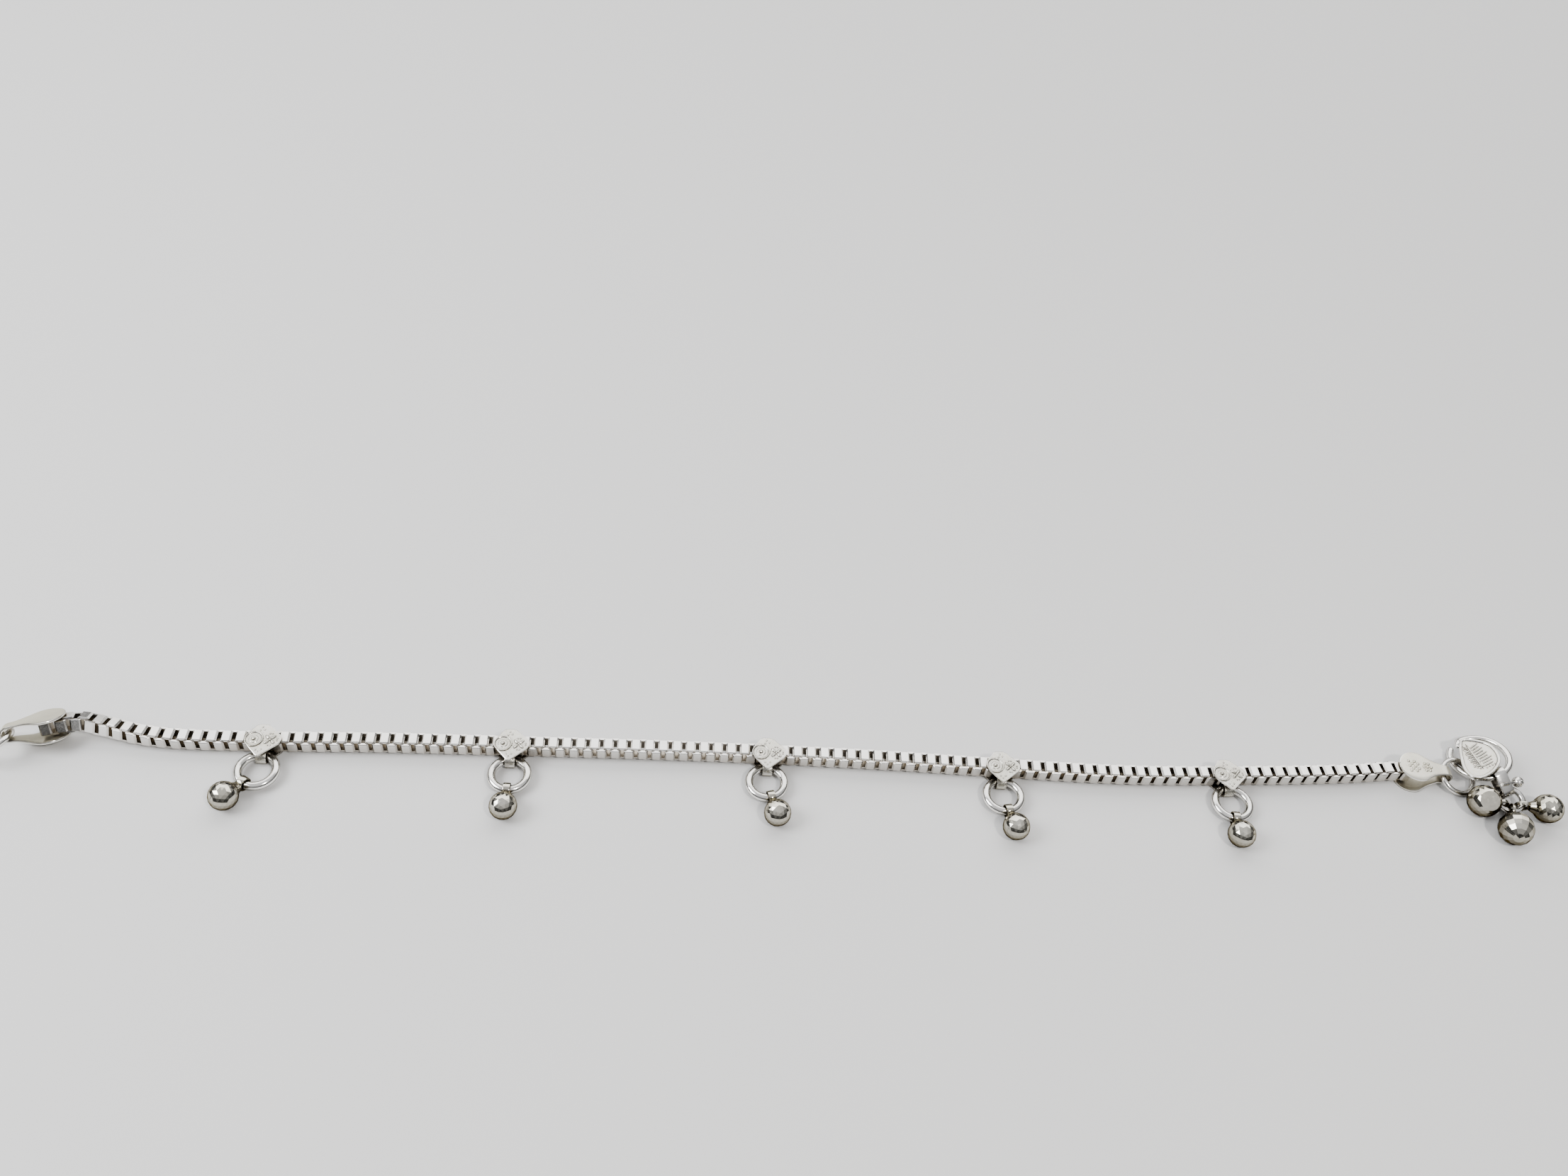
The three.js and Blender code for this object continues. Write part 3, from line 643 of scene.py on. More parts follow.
# %% Stamped plates
LEAF_ROUND, LOWER_LEAF_ROUND = 0.45, 0.3
UPPER_LEAF = [(-1.05, 1.95), (-2.45, 0.0), (-2.45, -1.6), (-0.15, -4.15), (2.9, -1.5), (3.0, -0.3),
              (0.65, 1.95)]
LOWER_LEAF = [(-1.0, 1.8), (-2.5, -0.6), (-1.0, -2.5), (1.0, -2.5), (2.65, -0.8), (0.6, 1.8)]
FOLD_X, FOLD_WIDTH = -0.2, 1.65
EYE_WIDTH, EYE_Y, EYE_INNER = 1.6, -2.41, 0.9
EYE_Z = EYE_INNER + SHEET - CHAIN_RISE
BOSS, BOSS_RADIUS = Vector((-1.2, -0.9, 0)), 1.4
BOSS_LIP, DOME_RISE, BOSS_EDGE = 0.12, 0.12, 0.035
BOSS_CREASE, LONG_EDGE = 0.6, 0.5  # a crease in radians, and edges that are too long to be one
# how far each inset of the boss is lifted, and its width
BOSS_STEPS = ((0.0, 0.16), (-0.2, 0.34), (0.0, 0.12))
FLOWER = Vector((1.3, -0.95, CHAIN_RISE))
# how far petals and dots lie from the flower's heart, and a dot's turn from its petal in radians
PETAL_OUT, DOT_OUT, DOT_TURN = 0.62, 1.1, 0.62
# half the length, width and height of each stamped lump
BEAD, FLOWER_HEART = (0.32, 0.32, 0.28), (0.2, 0.2, 0.17)
PETAL, PETAL_DOT, CORNER_DOT = (0.5, 0.25, 0.19), (0.14, 0.14, 0.11), (0.2, 0.13, 0.08)
BEAD_LIFT, CORNER_DOT_TURN = 0.1, math.radians(60)
CORNER_DOTS = ((-0.25, 1.35), (0.15, 0.9), (-0.5, 0.75), (-0.15, -3.3), (-0.5, -2.9), (0.3, -2.85))


def make_boss():
    """The raised ring, the groove in it and the low dome, all insets of one disc's top."""
    boss = bmesh.new()
    bmesh.ops.create_cone(boss, cap_ends=True, segments=32, radius1=BOSS_RADIUS,
                          radius2=BOSS_RADIUS, depth=SHEET)
    top = max(boss.faces, key=lambda f: f.calc_center_median().z)
    bmesh.ops.inset_individual(boss, faces=[top], thickness=BOSS_LIP)
    for depth, step in BOSS_STEPS:
        bmesh.ops.translate(boss, vec=(0, 0, depth), verts=top.verts)
        bmesh.ops.inset_individual(boss, faces=[top], thickness=step)
    bmesh.ops.translate(boss, vec=(0, 0, DOME_RISE), verts=top.verts)
    edges = [e for e in boss.edges if len(e.link_faces) == 2
             and e.calc_face_angle(0) > BOSS_CREASE and e.calc_length() < LONG_EDGE]
    bmesh.ops.bevel(boss, geom=edges, offset=BOSS_EDGE, offset_type="OFFSET", segments=2,
                    profile=0.5, affect="EDGES", material=-1)
    return smoothed(boss)


def make_plate():
    """Both leaves, the fold, the eye and the stamped work, round the chain at the origin."""
    bm = bmesh.new()
    add_to(bm, make_leaf(UPPER_LEAF, CHAIN_CLEAR, CHAIN_RISE, LEAF_ROUND))
    add_to(bm, make_leaf(LOWER_LEAF, -CHAIN_RISE, -CHAIN_CLEAR, LOWER_LEAF_ROUND))
    add_to(bm, make_rolled_strip((FOLD_X, 0, 0), CHAIN_RISE, FOLD_WIDTH,
                                 start=-90, sweep=180, steps=20))
    add_to(bm, make_rolled_strip((0, EYE_Y, EYE_Z), EYE_INNER + SHEET, EYE_WIDTH,
                                 start=-90, sweep=-200))
    add_to(bm, make_boss(), Matrix.Translation(BOSS + Vector((0, 0, CHAIN_RISE))))
    add_to(bm, make_lump(BEAD, BOSS + Vector((0, 0, CHAIN_RISE + BEAD_LIFT))))
    for i in range(4):
        turn = math.radians(45 + 90 * i)
        out = Vector((math.cos(turn), math.sin(turn), 0))
        add_to(bm, make_lump(PETAL, FLOWER + PETAL_OUT * out, turn))
        for side in (-1, 1):
            dot_turn = turn + side * DOT_TURN
            dot = Vector((math.cos(dot_turn), math.sin(dot_turn), 0))
            add_to(bm, make_lump(PETAL_DOT, FLOWER + DOT_OUT * dot, segments=8))
    add_to(bm, make_lump(FLOWER_HEART, FLOWER))
    for x, y in CORNER_DOTS:
        add_to(bm, make_lump(CORNER_DOT, Vector((x, y, CHAIN_RISE)), CORNER_DOT_TURN))
    return bm


plate_mesh = as_mesh(make_plate(), "one_plate")
for number, x in enumerate(STATION_X, start=1):
    plate = bmesh.new()
    plate.from_mesh(plate_mesh)
    bmesh.ops.transform(plate, matrix=chain_frame(length_at(x)), verts=plate.verts)
    finish_piece(plate, f"stamped_plate_{number}", "stamped_silver", [f"plate_{number}"],
                 trim=["polished_silver"])
bpy.data.meshes.remove(plate_mesh)

# %% [markdown]
# ## The drop rings and bells
# Each plate's eye holds a ring, and each ring holds a bell by a loop of strap. The bell's ball
# is cut with many small flat facets. They could be painted in a texture, but they have to catch
# the light one by one, so the ball is an icosphere that keeps its faces flat, while the neck
# and the loop are smooth. The loop's middle is the bell's own origin, its axis is y and the
# ball lies along x, which lets one helper set any bell on any ring.

# %% Bells
DROP_LOOP = dict(inner=0.84, outer=1.14, width=1.15, neck=0.3)
STRAP_ROUND = 0.09
NECK_THIN, NECK_WIDE = 0.75, 1.2
NECK_SINK, NECK_REACH = 0.3, 0.35  # how far the neck goes into the strap and into the ball


def make_strap_loop(inner, outer, width):
    """A closed band about y."""
    bm = bmesh.new()
    bmesh.ops.create_circle(bm, cap_ends=False, radius=outer, segments=28,
                            matrix=Matrix.Rotation(RIGHT_ANGLE, 4, "X"))
    wall = bmesh.ops.extrude_edge_only(bm, edges=bm.edges[:])["geom"]
    bmesh.ops.translate(bm, vec=(0, width, 0), verts=verts_of(wall))
    bmesh.ops.translate(bm, vec=(0, -width / 2, 0), verts=bm.verts)
    return thickened(bm, outer - inner, STRAP_ROUND)


def make_bell(radius, inner, outer, width, neck, cut="small"):
    """A ball cut with small facets, or in bands, on a neck and a loop of strap."""
    bm = bmesh.new()
    reach = outer + neck + radius
    ball = bmesh.new()
    if cut == "small":
        bmesh.ops.create_icosphere(ball, subdivisions=3, radius=radius)
    else:
        bmesh.ops.create_uvsphere(ball, u_segments=14, v_segments=10, radius=radius)
        bmesh.ops.transform(ball, matrix=Matrix.Rotation(RIGHT_ANGLE, 4, "Y"), verts=ball.verts)
    add_to(bm, ball, Matrix.Translation((reach, 0, 0)))
    collar = bmesh.new()
    base = outer + neck + NECK_REACH
    bmesh.ops.create_cone(collar, cap_ends=True, segments=20, radius1=NECK_THIN,
                          radius2=NECK_WIDE, depth=base - outer + NECK_SINK)
    collar_turn = Matrix.Rotation(RIGHT_ANGLE, 4, "Y")
    collar_place = Matrix.Translation(((base + outer - NECK_SINK) / 2, 0, 0)) @ collar_turn
    add_to(bm, smoothed(collar), collar_place)
    add_to(bm, make_strap_loop(inner, outer, width))
    return bm


# %% [markdown]
# ## Rings and bells at their stations
# Nothing here hangs: everything lies on a table. So a ring is laid flat from its plate's eye and
# turned by its swing, and a bell is turned by its own and tipped until its ball just rests. The
# angles come from the photograph. Physics could drop the bells in place, but would not land
# them as they lie there.

# %% Drop rings and bells
DROP_RING, DROP_WIRE = 2.85, 0.67
RING_BACK = 0.06  # how far the wire's middle lies past the eye's
# the ring's swing, the bell's swing and the bell's radius at each station
SWINGS = [(-4, -33, 2.28), (3, -2, 2.2), (-3, 14, 2.18), (2, 9, 2.2), (4, -4, 2.24)]


def bell_place(at, wire_run, heading, radius, outer, neck):
    """Sets a bell on a wire: its ball rests on the table, its loop turned across the wire."""
    climb = math.asin((radius - at.z) / (outer + neck + radius))
    azimuth = math.radians(heading)
    out = Vector((math.cos(climb) * math.cos(azimuth), math.cos(climb) * math.sin(azimuth),
                  math.sin(climb)))
    axis = (wire_run - wire_run.dot(out) * out).normalized()
    turn = Matrix((out, axis, out.cross(axis))).transposed().to_4x4()
    return Matrix.Translation(at) @ turn


for number, (x, (ring_turn, bell_turn, radius)) in enumerate(zip(STATION_X, SWINGS), start=1):
    eye = chain_frame(length_at(x)) @ Vector((0, EYE_Y, EYE_Z))
    swing = math.radians(ring_turn)
    middle = eye + Vector((math.sin(swing), -math.cos(swing), 0)) * (DROP_RING - RING_BACK)
    ring = make_wire_ring(DROP_RING, DROP_WIRE, steps=44)
    bmesh.ops.translate(ring, vec=middle, verts=ring.verts)
    finish_piece(ring, f"drop_ring_wire_{number}", "polished_silver", [f"drop_ring_{number}"])
    heading = math.radians(bell_turn - 90)
    at = middle + Vector((math.cos(heading), math.sin(heading), 0)) * DROP_RING
    run = Vector((-math.sin(heading), math.cos(heading), 0))
    bell = make_bell(radius, **DROP_LOOP)
    place = bell_place(at, run, bell_turn - 90, radius, DROP_LOOP["outer"], DROP_LOOP["neck"])
    bmesh.ops.transform(bell, matrix=place, verts=bell.verts)
    finish_piece(bell, f"cut_bell_{number}", "cut_silver", [f"drop_bell_{number}"])

# %% [markdown]
# ## The cluster's bells
# Three larger bells crowd on one ring near the clasp. Two have small facets, and the third is
# cut in bands, which a UV sphere gives. The first has one large facet as well. It is cut with
# Bisect Plane, as a file would cut it, and the hole is filled.

# %% Cluster bells
CLUSTER_LOOP = dict(inner=0.98, outer=1.28, width=0.6)
# each bell's place on the ring, heading, radius, neck's length and tip, with angles in degrees
CLUSTER_BELLS = [(-155, 184, 2.7, 0.12, 0), (-35, -14, 2.46, 0.15, 0), (-105, -112, 2.8, 1.0, -10)]
LOOP_LIFT = 0.18  # a loop's middle over the wire's
FACET_FACING, FACET_REACH = Vector((-0.12, -0.52, 0.84)).normalized(), 0.78


def on_ring(lie, degrees):
    """A place on the middle of a leaning ring's wire."""
    angle = math.radians(degrees)
    return leaning_place(*lie) @ Vector((lie[3] * math.cos(angle), lie[3] * math.sin(angle), 0))


def cut_facet(bm, middle, facing, reach):
    """Cuts one large flat facet on a ball: what lies past a plane is cut off and filled."""
    cut = bmesh.ops.bisect_plane(bm, geom=bm.verts[:] + bm.edges[:] + bm.faces[:],
                                 plane_co=middle + facing * reach, plane_no=facing,
                                 clear_outer=True)["geom_cut"]
    bmesh.ops.holes_fill(bm, edges=[e for e in cut if isinstance(e, bmesh.types.BMEdge)])


for number, (ring_angle, heading, radius, neck, tip) in enumerate(CLUSTER_BELLS, start=1):
    at = on_ring(CLUSTER, ring_angle) + Vector((0, 0, LOOP_LIFT))
    run = (on_ring(CLUSTER, ring_angle + 1) - on_ring(CLUSTER, ring_angle - 1)).normalized()
    place = bell_place(at, run, heading, radius, CLUSTER_LOOP["outer"], neck)
    place = place @ Matrix.Rotation(math.radians(tip), 4, "X")
    bell = make_bell(radius, neck=neck, cut="banded" if number == 3 else "small", **CLUSTER_LOOP)
    bmesh.ops.transform(bell, matrix=place, verts=bell.verts)
    if number == 1:
        middle = place @ Vector((CLUSTER_LOOP["outer"] + neck + radius, 0, 0))
        cut_facet(bell, middle, FACET_FACING, FACET_REACH * radius)
    finish_piece(bell, f"cut_cluster_bell_{number}", "cut_silver", [f"cluster_bell_{number}"])

# %% [markdown]
# ## The end caps
# A cap is one strip of sheet, pear-shaped at both ends and folded in the middle round the end
# ring. A leaf of it could be a filled curve, but a grid keeps its rows, and each row is given
# its place along the leaf, its half width and its height. So the neck is drawn in row by row.

# %% Cap leaves
CAP_HEAD, CAP_NECK = 2.9, 1.0
CAP_WIRE_X, CAP_WIRE_Z, CAP_FOLD = 8.15, 0.2, 1.34
CAP_DRAWN_FROM = 4.4
# the head's arc in degrees and rows, the waist, how hollow the way to it is, and the neck's start
HEAD_FROM, HEAD_SWEEP, HEAD_ROWS = 5, 107, 13
WAIST, HOLLOW, NECK_START = (7.25, 1.12), 0.22, (7.7, 1.02)


def pear_rows():
    """Rows of (place along the leaf, half its width) from the head's tip to the fold."""
    rows = []
    for i in range(HEAD_ROWS):
        turn = math.radians(HEAD_FROM + HEAD_SWEEP * i / (HEAD_ROWS - 1))
        rows.append((CAP_HEAD * (1 - math.cos(turn)), CAP_HEAD * math.sin(turn)))
    start, end = rows[-1], WAIST
    for share in (0.25, 0.5, 0.75, 1.0):
        dip = HOLLOW * math.sin(math.pi * share)
        rows.append((start[0] + share * (end[0] - start[0]),
                     start[1] + share * (end[1] - start[1]) - dip))
    return rows + [NECK_START, (CAP_WIRE_X, CAP_NECK)]


def make_pear_surface(side):
    """The upper (side 1) or lower (side -1) leaf as a bare surface, drawn in to the fold."""
    rows = pear_rows()
    bm = bmesh.new()
    bmesh.ops.create_grid(bm, x_segments=len(rows) - 1, y_segments=6, size=1)
    for vert in bm.verts:
        along, half = rows[round((vert.co.x + 1) / 2 * (len(rows) - 1))]
        share = min(1, max(0, (along - CAP_DRAWN_FROM) / (CAP_WIRE_X - CAP_DRAWN_FROM)))
        eased = share * share * (3 - 2 * share)
        rise = side * CHAIN_RISE * (1 - eased) + (CAP_WIRE_Z + side * CAP_FOLD) * eased
        vert.co = Vector((along, vert.co.y * half, rise))
    return bm


print("rows of a cap's leaf:", len(pear_rows()))

# %% [markdown]
# ## Folding the caps
# The cap is made as the silversmith makes it: the upper leaf first, then a half turn of Spin for
# the fold, then the lower leaf. Solidify gives it the thickness of the sheet at the end, so the
# wall is the same all along. The right cap carries two groups of granules, which are lumps as on
# the plates. The left cap lies on its far edge, rolled by 30 degrees.

# %% End caps
CAP_ROUND = 0.11
SAME_POINT = 0.002
CAP_DOT = (0.25, 0.29, 0.17)
# a block of rows and a small rosette
CAP_DOTS = [(1.7 + 0.5 * i, -0.95 + 0.48 * j)
            for i in range(4) for j in range(5) if (i + j) % 2 == 0]
CAP_DOTS += [(4.75 + 0.62 * math.cos(math.pi / 3 * i), 0.78 * math.sin(math.pi / 3 * i))
             for i in range(6)] + [(4.75, 0)]


def make_cap(with_dots):
    """Two pear-shaped leaves and the fold between them, with the sheet's thickness."""
    bm = bmesh.new()
    add_to(bm, make_pear_surface(1))
    neck = [e for e in bm.edges if all(abs(v.co.x - CAP_WIRE_X) < SLACK for v in e.verts)]
    bmesh.ops.spin(bm, geom=neck + list({v for e in neck for v in e.verts}),
                   cent=(CAP_WIRE_X, 0, CAP_WIRE_Z), axis=(0, 1, 0),
                   angle=math.pi, steps=12)
    add_to(bm, make_pear_surface(-1))
    bmesh.ops.remove_doubles(bm, verts=bm.verts, dist=SAME_POINT)
    bmesh.ops.recalc_face_normals(bm, faces=bm.faces)
    top = max(bm.faces, key=lambda f: f.calc_center_median().z)
    if top.normal.z < 0:
        bmesh.ops.reverse_faces(bm, faces=bm.faces)
    bmesh.ops.solidify(bm, geom=bm.faces[:], thickness=SHEET)
    rims = [e for e in bm.edges if len(e.link_faces) == 2 and e.calc_face_angle(0) > RIM_ANGLE]
    bmesh.ops.bevel(bm, geom=rims, offset=CAP_ROUND, offset_type="OFFSET", segments=2,
                    profile=0.5, affect="EDGES", material=RIM)
    smoothed(bm)
    if with_dots:
        for x, y in CAP_DOTS:
            add_to(bm, make_lump(CAP_DOT, Vector((x, y, CHAIN_RISE)), segments=12))
    return bm


def cap_place(at, roll, heading):
    """Where a cap lies, from the place of its head's tip and two turns in degrees."""
    return (Matrix.Translation(at) @ Matrix.Rotation(math.radians(heading), 4, "Z")
            @ Matrix.Rotation(math.radians(roll), 4, "X"))


# the place of the head's tip, its roll and its heading in degrees
CAPS = {
    "end_cap_right": ((106.9, 0.42, CHAIN_RISE), 0, -4),
    "end_cap_left": ((-110.2, 1.11, 3.05), 30, 198),
}
for node, (at, roll, heading) in CAPS.items():
    cap = make_cap(with_dots=node == "end_cap_right")
    bmesh.ops.transform(cap, matrix=cap_place(at, roll, heading), verts=cap.verts)
    finish_piece(cap, f"folded_{node}", "satin_silver", [node], trim=["polished_silver"])

# %% [markdown]
# ## The hook's leaf
# The anklet closes with a hook of round wire that has a stamped leaf soldered over it. The leaf
# could be drawn as a curve and given depth, but its rim would have to be a second shape. Here
# the outline's corners are bevelled twice, the face is extruded, and the top is inset twice and
# its middle lowered. That raises a rim and keeps the leaf one closed shape.

# %% Leaf of the hook
LEAF_LOW, LEAF_THICK, LEAF_SINK = 2.0, 0.45, 0.2
LEAF_EDGE = [
    (-2.4, 3.0), (-3.3, 1.0), (-3.85, -0.8), (-4.45, -3.3), (-4.35, -5.1), (-3.6, -6.1),
    (-2.2, -6.3), (-0.2, -5.45), (1.45, -3.95), (2.25, -2.4), (2.3, -0.45), (1.6, 1.3), (-0.7, 2.6),
]
CORNER_CUTS, CLOSE_POINTS = (0.5, 0.16), 0.08
RIM_WIDTH, RIM_SLOPE = 0.42, 0.1
LEAF_CREASE, LEAF_RIM_ROUND = 0.7, 0.12


def make_hook_leaf():
    """The leaf's sheet with its raised rim."""
    bm = bmesh.new()
    corners = [bm.verts.new((x, y, LEAF_LOW)) for x, y in LEAF_EDGE]
    bm.faces.new(corners)
    for offset in CORNER_CUTS:
        bmesh.ops.bevel(bm, geom=bm.verts[:], offset=offset, offset_type="OFFSET", segments=1,
                        profile=0.5, affect="VERTICES", material=-1, clamp_overlap=True)
    bmesh.ops.remove_doubles(bm, verts=bm.verts, dist=CLOSE_POINTS)
    raised = bmesh.ops.extrude_face_region(bm, geom=bm.faces[:])["geom"]
    bmesh.ops.translate(bm, vec=(0, 0, LEAF_THICK), verts=verts_of(raised))
    bmesh.ops.recalc_face_normals(bm, faces=bm.faces)
    top = max((f for f in bm.faces if len(f.verts) > MOST_SMOOTH_CORNERS),
              key=lambda f: f.calc_center_median().z)
    for width in (RIM_WIDTH, RIM_SLOPE):
        bmesh.ops.inset_individual(bm, faces=[top], thickness=width)
    bmesh.ops.translate(bm, vec=(0, 0, -LEAF_SINK), verts=top.verts)
    rims = [e for e in bm.edges if len(e.link_faces) == 2 and e.calc_face_angle(0) > LEAF_CREASE
            and abs(e.verts[0].co.z - e.verts[1].co.z) < LEVEL and e not in top.edges[:]]
    bmesh.ops.bevel(bm, geom=rims, offset=LEAF_RIM_ROUND, offset_type="OFFSET", segments=3,
                    profile=0.5, affect="EDGES", material=RIM, clamp_overlap=True)
    return smoothed(bm)


# %% [markdown]
# ## Veins and granules
# A midrib runs up the leaf, with side veins on both sides of it and a row of granules under
# each vein. A bump in the material would be quicker, but it would not show at the leaf's edge
# or in the exported mesh. So each is a low lump set into the leaf, and both kinds of row follow
# one rule for where a vein starts and how it runs.

# %% Veins and granules
LEAF_BASE, LEAF_TIP = Vector((-1.3, -5.2, 0)), Vector((-2.0, 2.3, 0))
LEAF_FACE = Vector((0, 0, LEAF_LOW + LEAF_THICK - LEAF_SINK))
# a vein's run to either side, and how that shortens from the leaf's base to its tip
VEIN_RIGHT, VEIN_LEFT = 2.8, 1.55
VEIN_FULL, VEIN_LOSS = 1.05, 0.62


def make_vein(start, end, width, high):
    """A raised line on the leaf: a long low lump from one place to another."""
    middle = (start + end) / 2
    run = end - start
    return make_lump((run.length / 2, width, high), middle + LEAF_FACE,
                     math.atan2(run.y, run.x), segments=12)


def vein_run(share, side):
    """Where a side vein leaves the midrib, and the way it runs."""
    start = LEAF_BASE + share * (LEAF_TIP - LEAF_BASE)
    wide = side * (VEIN_RIGHT if side > 0 else VEIN_LEFT)
    return start, Vector((wide * (VEIN_FULL - VEIN_LOSS * share), 1.0, 0))


print(f"the leaf's face is {LEAF_FACE.z:.2f} mm over the hook's middle")

# %% [markdown]
# ## The hook and its leaf together
# The hook is a nearly closed ring of wire, and the leaf stands over it on a short post. They
# could be two objects, but they are soldered, and one CAD solid stands for both. So the wire,
# the leaf, its rows, the rolled lobe at its tip and the post are added to one bmesh.

# %% Leaf hook
# as the end rings' rows
HOOK = (122.9, 3.3, 2.25, 4.6, 1.3, -0.7)
HOOK_WIRE, HOOK_FROM, HOOK_SWEEP = 0.58, 140, 338
MIDRIB_FROM, MIDRIB_TO = 0.1, 0.92
# half the width and the height of the midrib and of a vein
MIDRIB_SIZE, VEIN_SIZE = (0.2, 0.2), (0.14, 0.15)
VEIN_STARTS = (0.18, 0.32, 0.46, 0.6, 0.74)
LOW_SHARE = 0.2  # rows that start lower than this on the midrib are shorter
VEIN_REACH, LOW_REACH = 1.1, 0.85
GRANULE_ROWS = (0.11, 0.25, 0.39, 0.53, 0.67)
GRANULE, GRANULES_RIGHT, GRANULES_LEFT = (0.15, 0.15, 0.14), 5, 4
GRANULES_FROM = 0.25  # the first granule's share of its row
LOBE, LOBE_AT, LOBE_TURN = (1.05, 0.52, 0.48), Vector((-3.0, 2.1, LEAF_LOW + 0.1)), 66
POST_ANGLE, POST_WIDE, POST_NARROW = -112, 0.7, 0.6
POST_HEIGHT, POST_MIDDLE = LEAF_LOW + 0.1, LEAF_LOW / 2 + 0.15


def polished(bm):
    """Gives every face the rims' polished finish."""
    for face in bm.faces:
        face.material_index = RIM
    return bm


hook = polished(make_wire_ring(HOOK[3], HOOK_WIRE, steps=64, start=HOOK_FROM, sweep=HOOK_SWEEP))
add_to(hook, make_hook_leaf())
midrib = LEAF_TIP - LEAF_BASE
add_to(hook, make_vein(LEAF_BASE + MIDRIB_FROM * midrib, LEAF_BASE + MIDRIB_TO * midrib,
                       *MIDRIB_SIZE))
for share in VEIN_STARTS:
    for side in (-1, 1):
        start, out = vein_run(share, side)
        end = start + out * (VEIN_REACH if share > LOW_SHARE else LOW_REACH)
        add_to(hook, make_vein(start, end, *VEIN_SIZE))
for share in GRANULE_ROWS:
    for side in (-1, 1):
        start, out = vein_run(share, side)
        count = (GRANULES_RIGHT if side > 0 else GRANULES_LEFT) - (share < LOW_SHARE)
        for i in range(count):
            reach = GRANULES_FROM + (1 - GRANULES_FROM) * i / count
            add_to(hook, make_lump(GRANULE, start + out * reach + LEAF_FACE, segments=10))
# the leaf's tip is rolled back on its left side
add_to(hook, polished(make_lump(LOBE, LOBE_AT, math.radians(LOBE_TURN))))
post = bmesh.new()
bmesh.ops.create_cone(post, cap_ends=True, segments=20, radius1=POST_WIDE,
                      radius2=POST_NARROW, depth=POST_HEIGHT)
post_turn = math.radians(POST_ANGLE)
add_to(hook, smoothed(post), Matrix.Translation(
    (HOOK[3] * math.cos(post_turn), HOOK[3] * math.sin(post_turn), POST_MIDDLE)))
bmesh.ops.transform(hook, matrix=leaning_place(*HOOK), verts=hook.verts)
finish_piece(hook, "hook_and_leaf", "stamped_silver", ["leaf_hook"], trim=["polished_silver"])

# %% [markdown]
# ## The bail
# The bail is a wide strap bent into a long loop round the hook and the cluster's ring, with a
# pin soldered across it that ends in a ribbed knob. The strap is a circle pulled apart into a
# long loop, widened and given its thickness. The knob is a ball drawn in between its ribs.

# %% Bail
BAIL_ANGLE, BAIL_RING_ANGLE = -75, 104
BAIL_WIDTH, BAIL_INNER = 2.0, 1.0
BAIL_PLAY = 0.24
WIRE_TURN, WIRE_CLIMB = 0.2, 0.18  # the way the hook's wire runs through the bail
PIN_FROM, PIN_TO = Vector((123.6, -3.15, 3.75)), Vector((127.35, -1.95, 2.95))
PIN_WIRE, KNOB, KNOB_RIBS, RIB_DEPTH = 0.3, 0.95, 13, 0.045


def make_bail(span):
    """A strap round two wires that are so far apart along x."""
    bm = bmesh.new()
    outer = BAIL_INNER + SHEET
    bmesh.ops.create_circle(bm, cap_ends=False, radius=outer, segments=40)
    for vert in bm.verts:
        vert.co.x += math.copysign(span / 2, vert.co.x)
    wall = bmesh.ops.extrude_edge_only(bm, edges=bm.edges[:])["geom"]
    bmesh.ops.translate(bm, vec=(0, 0, BAIL_WIDTH), verts=verts_of(wall))
    bmesh.ops.translate(bm, vec=(0, 0, -BAIL_WIDTH / 2), verts=bm.verts)
    return thickened(bm, SHEET, STRAP_ROUND)


hook_wire = on_ring(HOOK, BAIL_ANGLE)
cluster_wire = on_ring(CLUSTER, BAIL_RING_ANGLE)
reach = cluster_wire - hook_wire
along_wire = Vector((math.cos(WIRE_TURN), math.sin(WIRE_TURN), WIRE_CLIMB)).normalized()
bail_x = reach.normalized()
bail_up = -along_wire.cross(reach).normalized()
bail_turn = Matrix((bail_x, bail_up, bail_x.cross(bail_up))).transposed().to_4x4()
bail_place = Matrix.Translation((hook_wire + cluster_wire) / 2) @ bail_turn
bail = make_bail(reach.length + BAIL_PLAY)
bmesh.ops.transform(bail, matrix=bail_place, verts=bail.verts)
pin_run = PIN_TO - PIN_FROM
pin_turn = Vector((0, 0, 1)).rotation_difference(pin_run).to_matrix().to_4x4()
pin = bmesh.new()
bmesh.ops.create_cone(pin, cap_ends=True, segments=14, radius1=PIN_WIRE, radius2=PIN_WIRE,
                      depth=pin_run.length)
add_to(bail, smoothed(pin), Matrix.Translation((PIN_FROM + PIN_TO) / 2) @ pin_turn)
knob = bmesh.new()
bmesh.ops.create_uvsphere(knob, u_segments=4 * KNOB_RIBS, v_segments=14, radius=KNOB)
for vert in knob.verts:
    rib = math.cos(KNOB_RIBS * math.atan2(vert.co.y, vert.co.x))
    vert.co *= 1 - RIB_DEPTH * (1 - rib) * (1 - abs(vert.co.z) / KNOB)
add_to(bail, smoothed(knob), Matrix.Translation(PIN_TO) @ pin_turn)
finish_piece(bail, "strap_bail", "polished_silver", ["cluster_bail"])

# %% [markdown]
# ## The floor
# The anklet is shown on one plain pale sheet. A backdrop could curve up behind it, but the
# pictures are taken from above and from all sides, so a flat sheet shows least. A grid with
# a single face is enough for it.

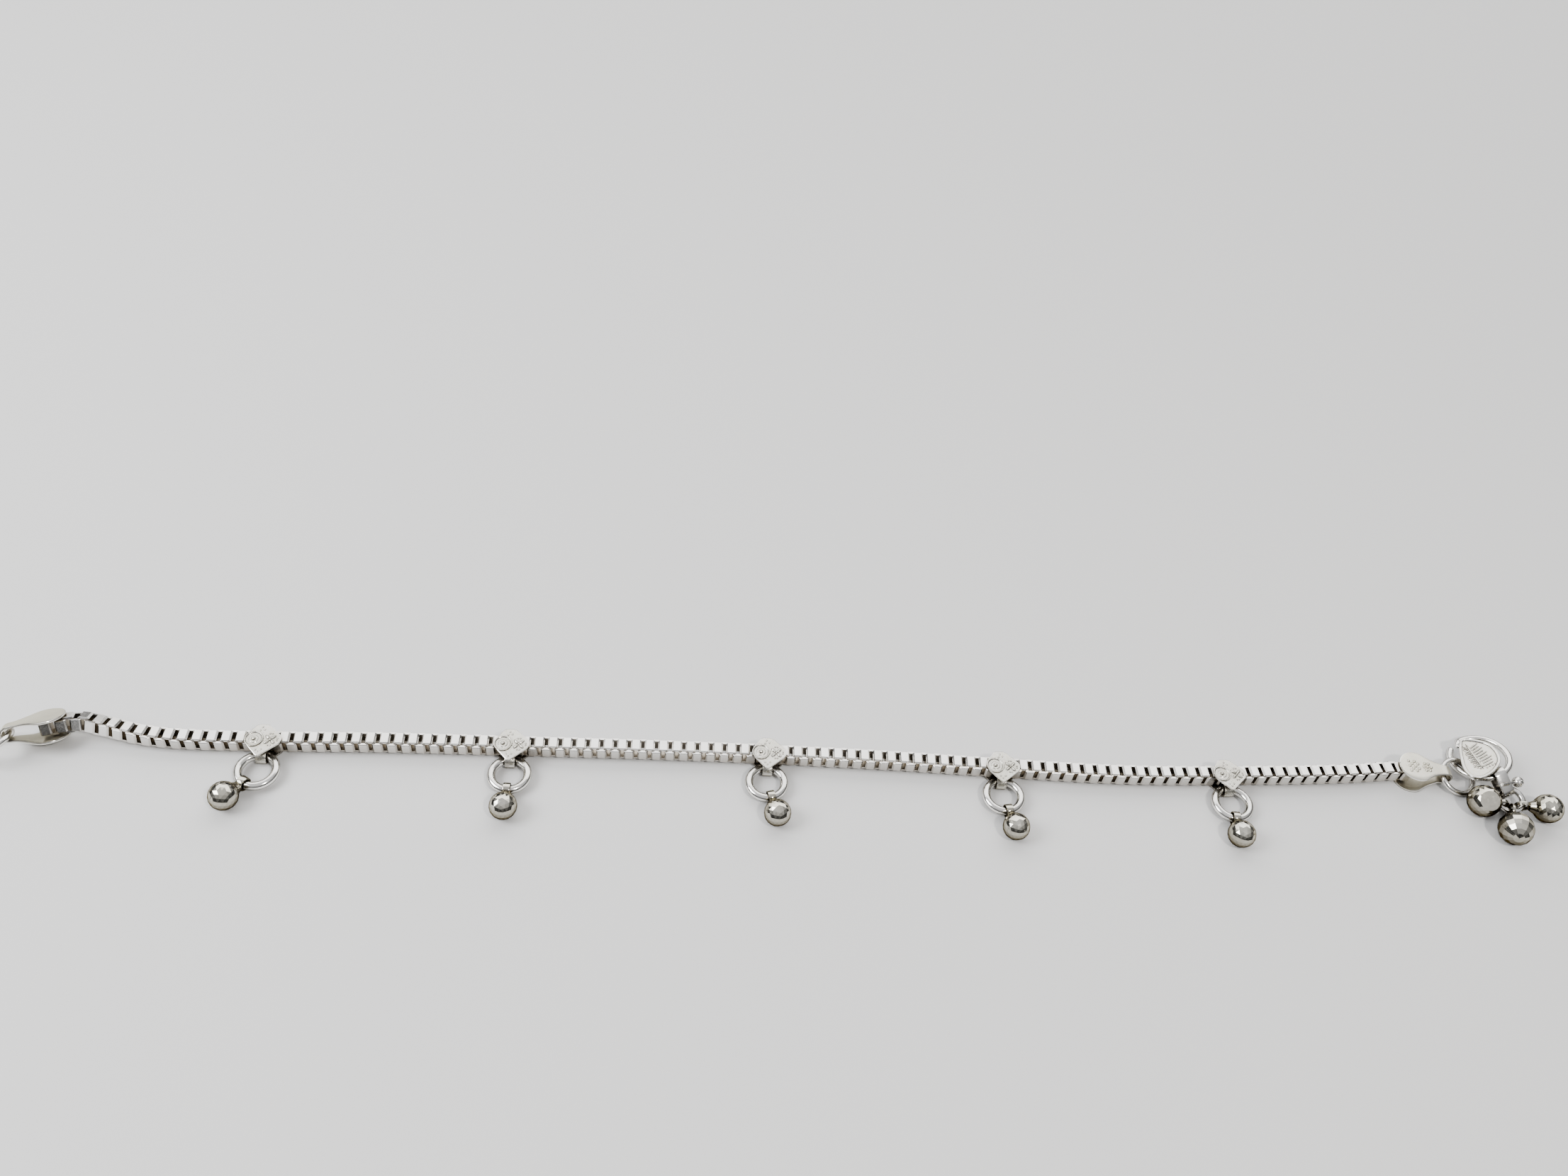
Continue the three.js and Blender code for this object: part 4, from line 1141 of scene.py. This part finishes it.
# %% Floor
FLOOR_SIZE, FLOOR_DROP = 3.0, 0.00002
FLOOR_COLOUR, FLOOR_ROUGHNESS = (0.74, 0.74, 0.735, 1), 0.75
floor_mesh = bmesh.new()
bmesh.ops.create_grid(floor_mesh, x_segments=1, y_segments=1, size=FLOOR_SIZE)
floor_data = as_mesh(floor_mesh, "floor")
floor = bpy.data.objects.new("floor", floor_data)
floor.location.z = -FLOOR_DROP
bpy.context.collection.objects.link(floor)
floor_paint = bpy.data.materials.new("pale_floor")
floor_paint.use_nodes = True
floor_shader = floor_paint.node_tree.nodes["Principled BSDF"]
floor_shader.inputs["Base Color"].default_value = FLOOR_COLOUR
floor_shader.inputs["Roughness"].default_value = FLOOR_ROUGHNESS
floor_data.materials.append(floor_paint)
print(f"floor {2 * FLOOR_SIZE:.0f} m wide")

# %% [markdown]
# ## Sky and lamps
# Silver shows only what it reflects, so it needs something to reflect. A picture of a room could
# serve, but plain lamps are easier to place: two wide soft ones make the broad white glints, a
# small one makes the sharp ones, and a world that darkens towards the horizon gives the sides
# of the links their grey.

# %% Sky and lamps
# height, from the horizon at 0 to straight up at 1, and brightness
SKY = [(0.0, 0.03), (0.25, 0.12), (0.5, 0.38), (0.72, 0.8), (1.0, 1.2)]
SKY_STRENGTH = 0.7
world = bpy.data.worlds.new("studio")
world.use_nodes = True
bpy.context.scene.world = world
sky = world.node_tree
sky_place = sky.nodes.new("ShaderNodeTexCoord").outputs["Generated"]
height = sky.nodes.new("ShaderNodeSeparateXYZ")
connect(sky, sky_place, height.inputs[0])
ramp = sky.nodes.new("ShaderNodeValToRGB")
stops = ramp.color_ramp.elements  # a new ramp has one at 0 and one at 1
for position, _ in SKY[1:-1]:
    stops.new(position)
for stop, (_, bright) in zip(stops, SKY):
    stop.color = (bright, bright, 1.02 * bright, 1)
connect(sky, height.outputs["Z"], ramp.inputs["Fac"])
connect(sky, ramp.outputs["Color"], sky.nodes["Background"].inputs["Color"])
sky.nodes["Background"].inputs["Strength"].default_value = SKY_STRENGTH

# name, place in metres, width and depth in metres, power in watts, colour
LAMPS = [
    ("back_softbox", (0.0, 0.62, 0.56), (1.9, 0.7), 10.0, (1.0, 0.99, 0.97)),
    ("left_softbox", (-0.45, -0.05, 0.40), (0.3, 0.3), 3.5, (0.97, 0.98, 1.0)),
    ("front_spark", (0.18, -0.28, 0.50), (0.05, 0.05), 1.6, (1.0, 0.97, 0.93)),
]
for name, place, (wide, deep), power, colour in LAMPS:
    lamp_data = bpy.data.lights.new(name, "AREA")
    lamp_data.shape = "RECTANGLE"
    lamp_data.size = wide
    lamp_data.size_y = deep
    lamp_data.energy = power
    lamp_data.color = colour
    lamp = bpy.data.objects.new(name, lamp_data)
    lamp.location = place
    lamp.rotation_mode = "QUATERNION"
    lamp.rotation_quaternion = (-Vector(place)).to_track_quat("-Z", "Y")
    bpy.context.collection.objects.link(lamp)
print("lamps:", [row[0] for row in LAMPS])
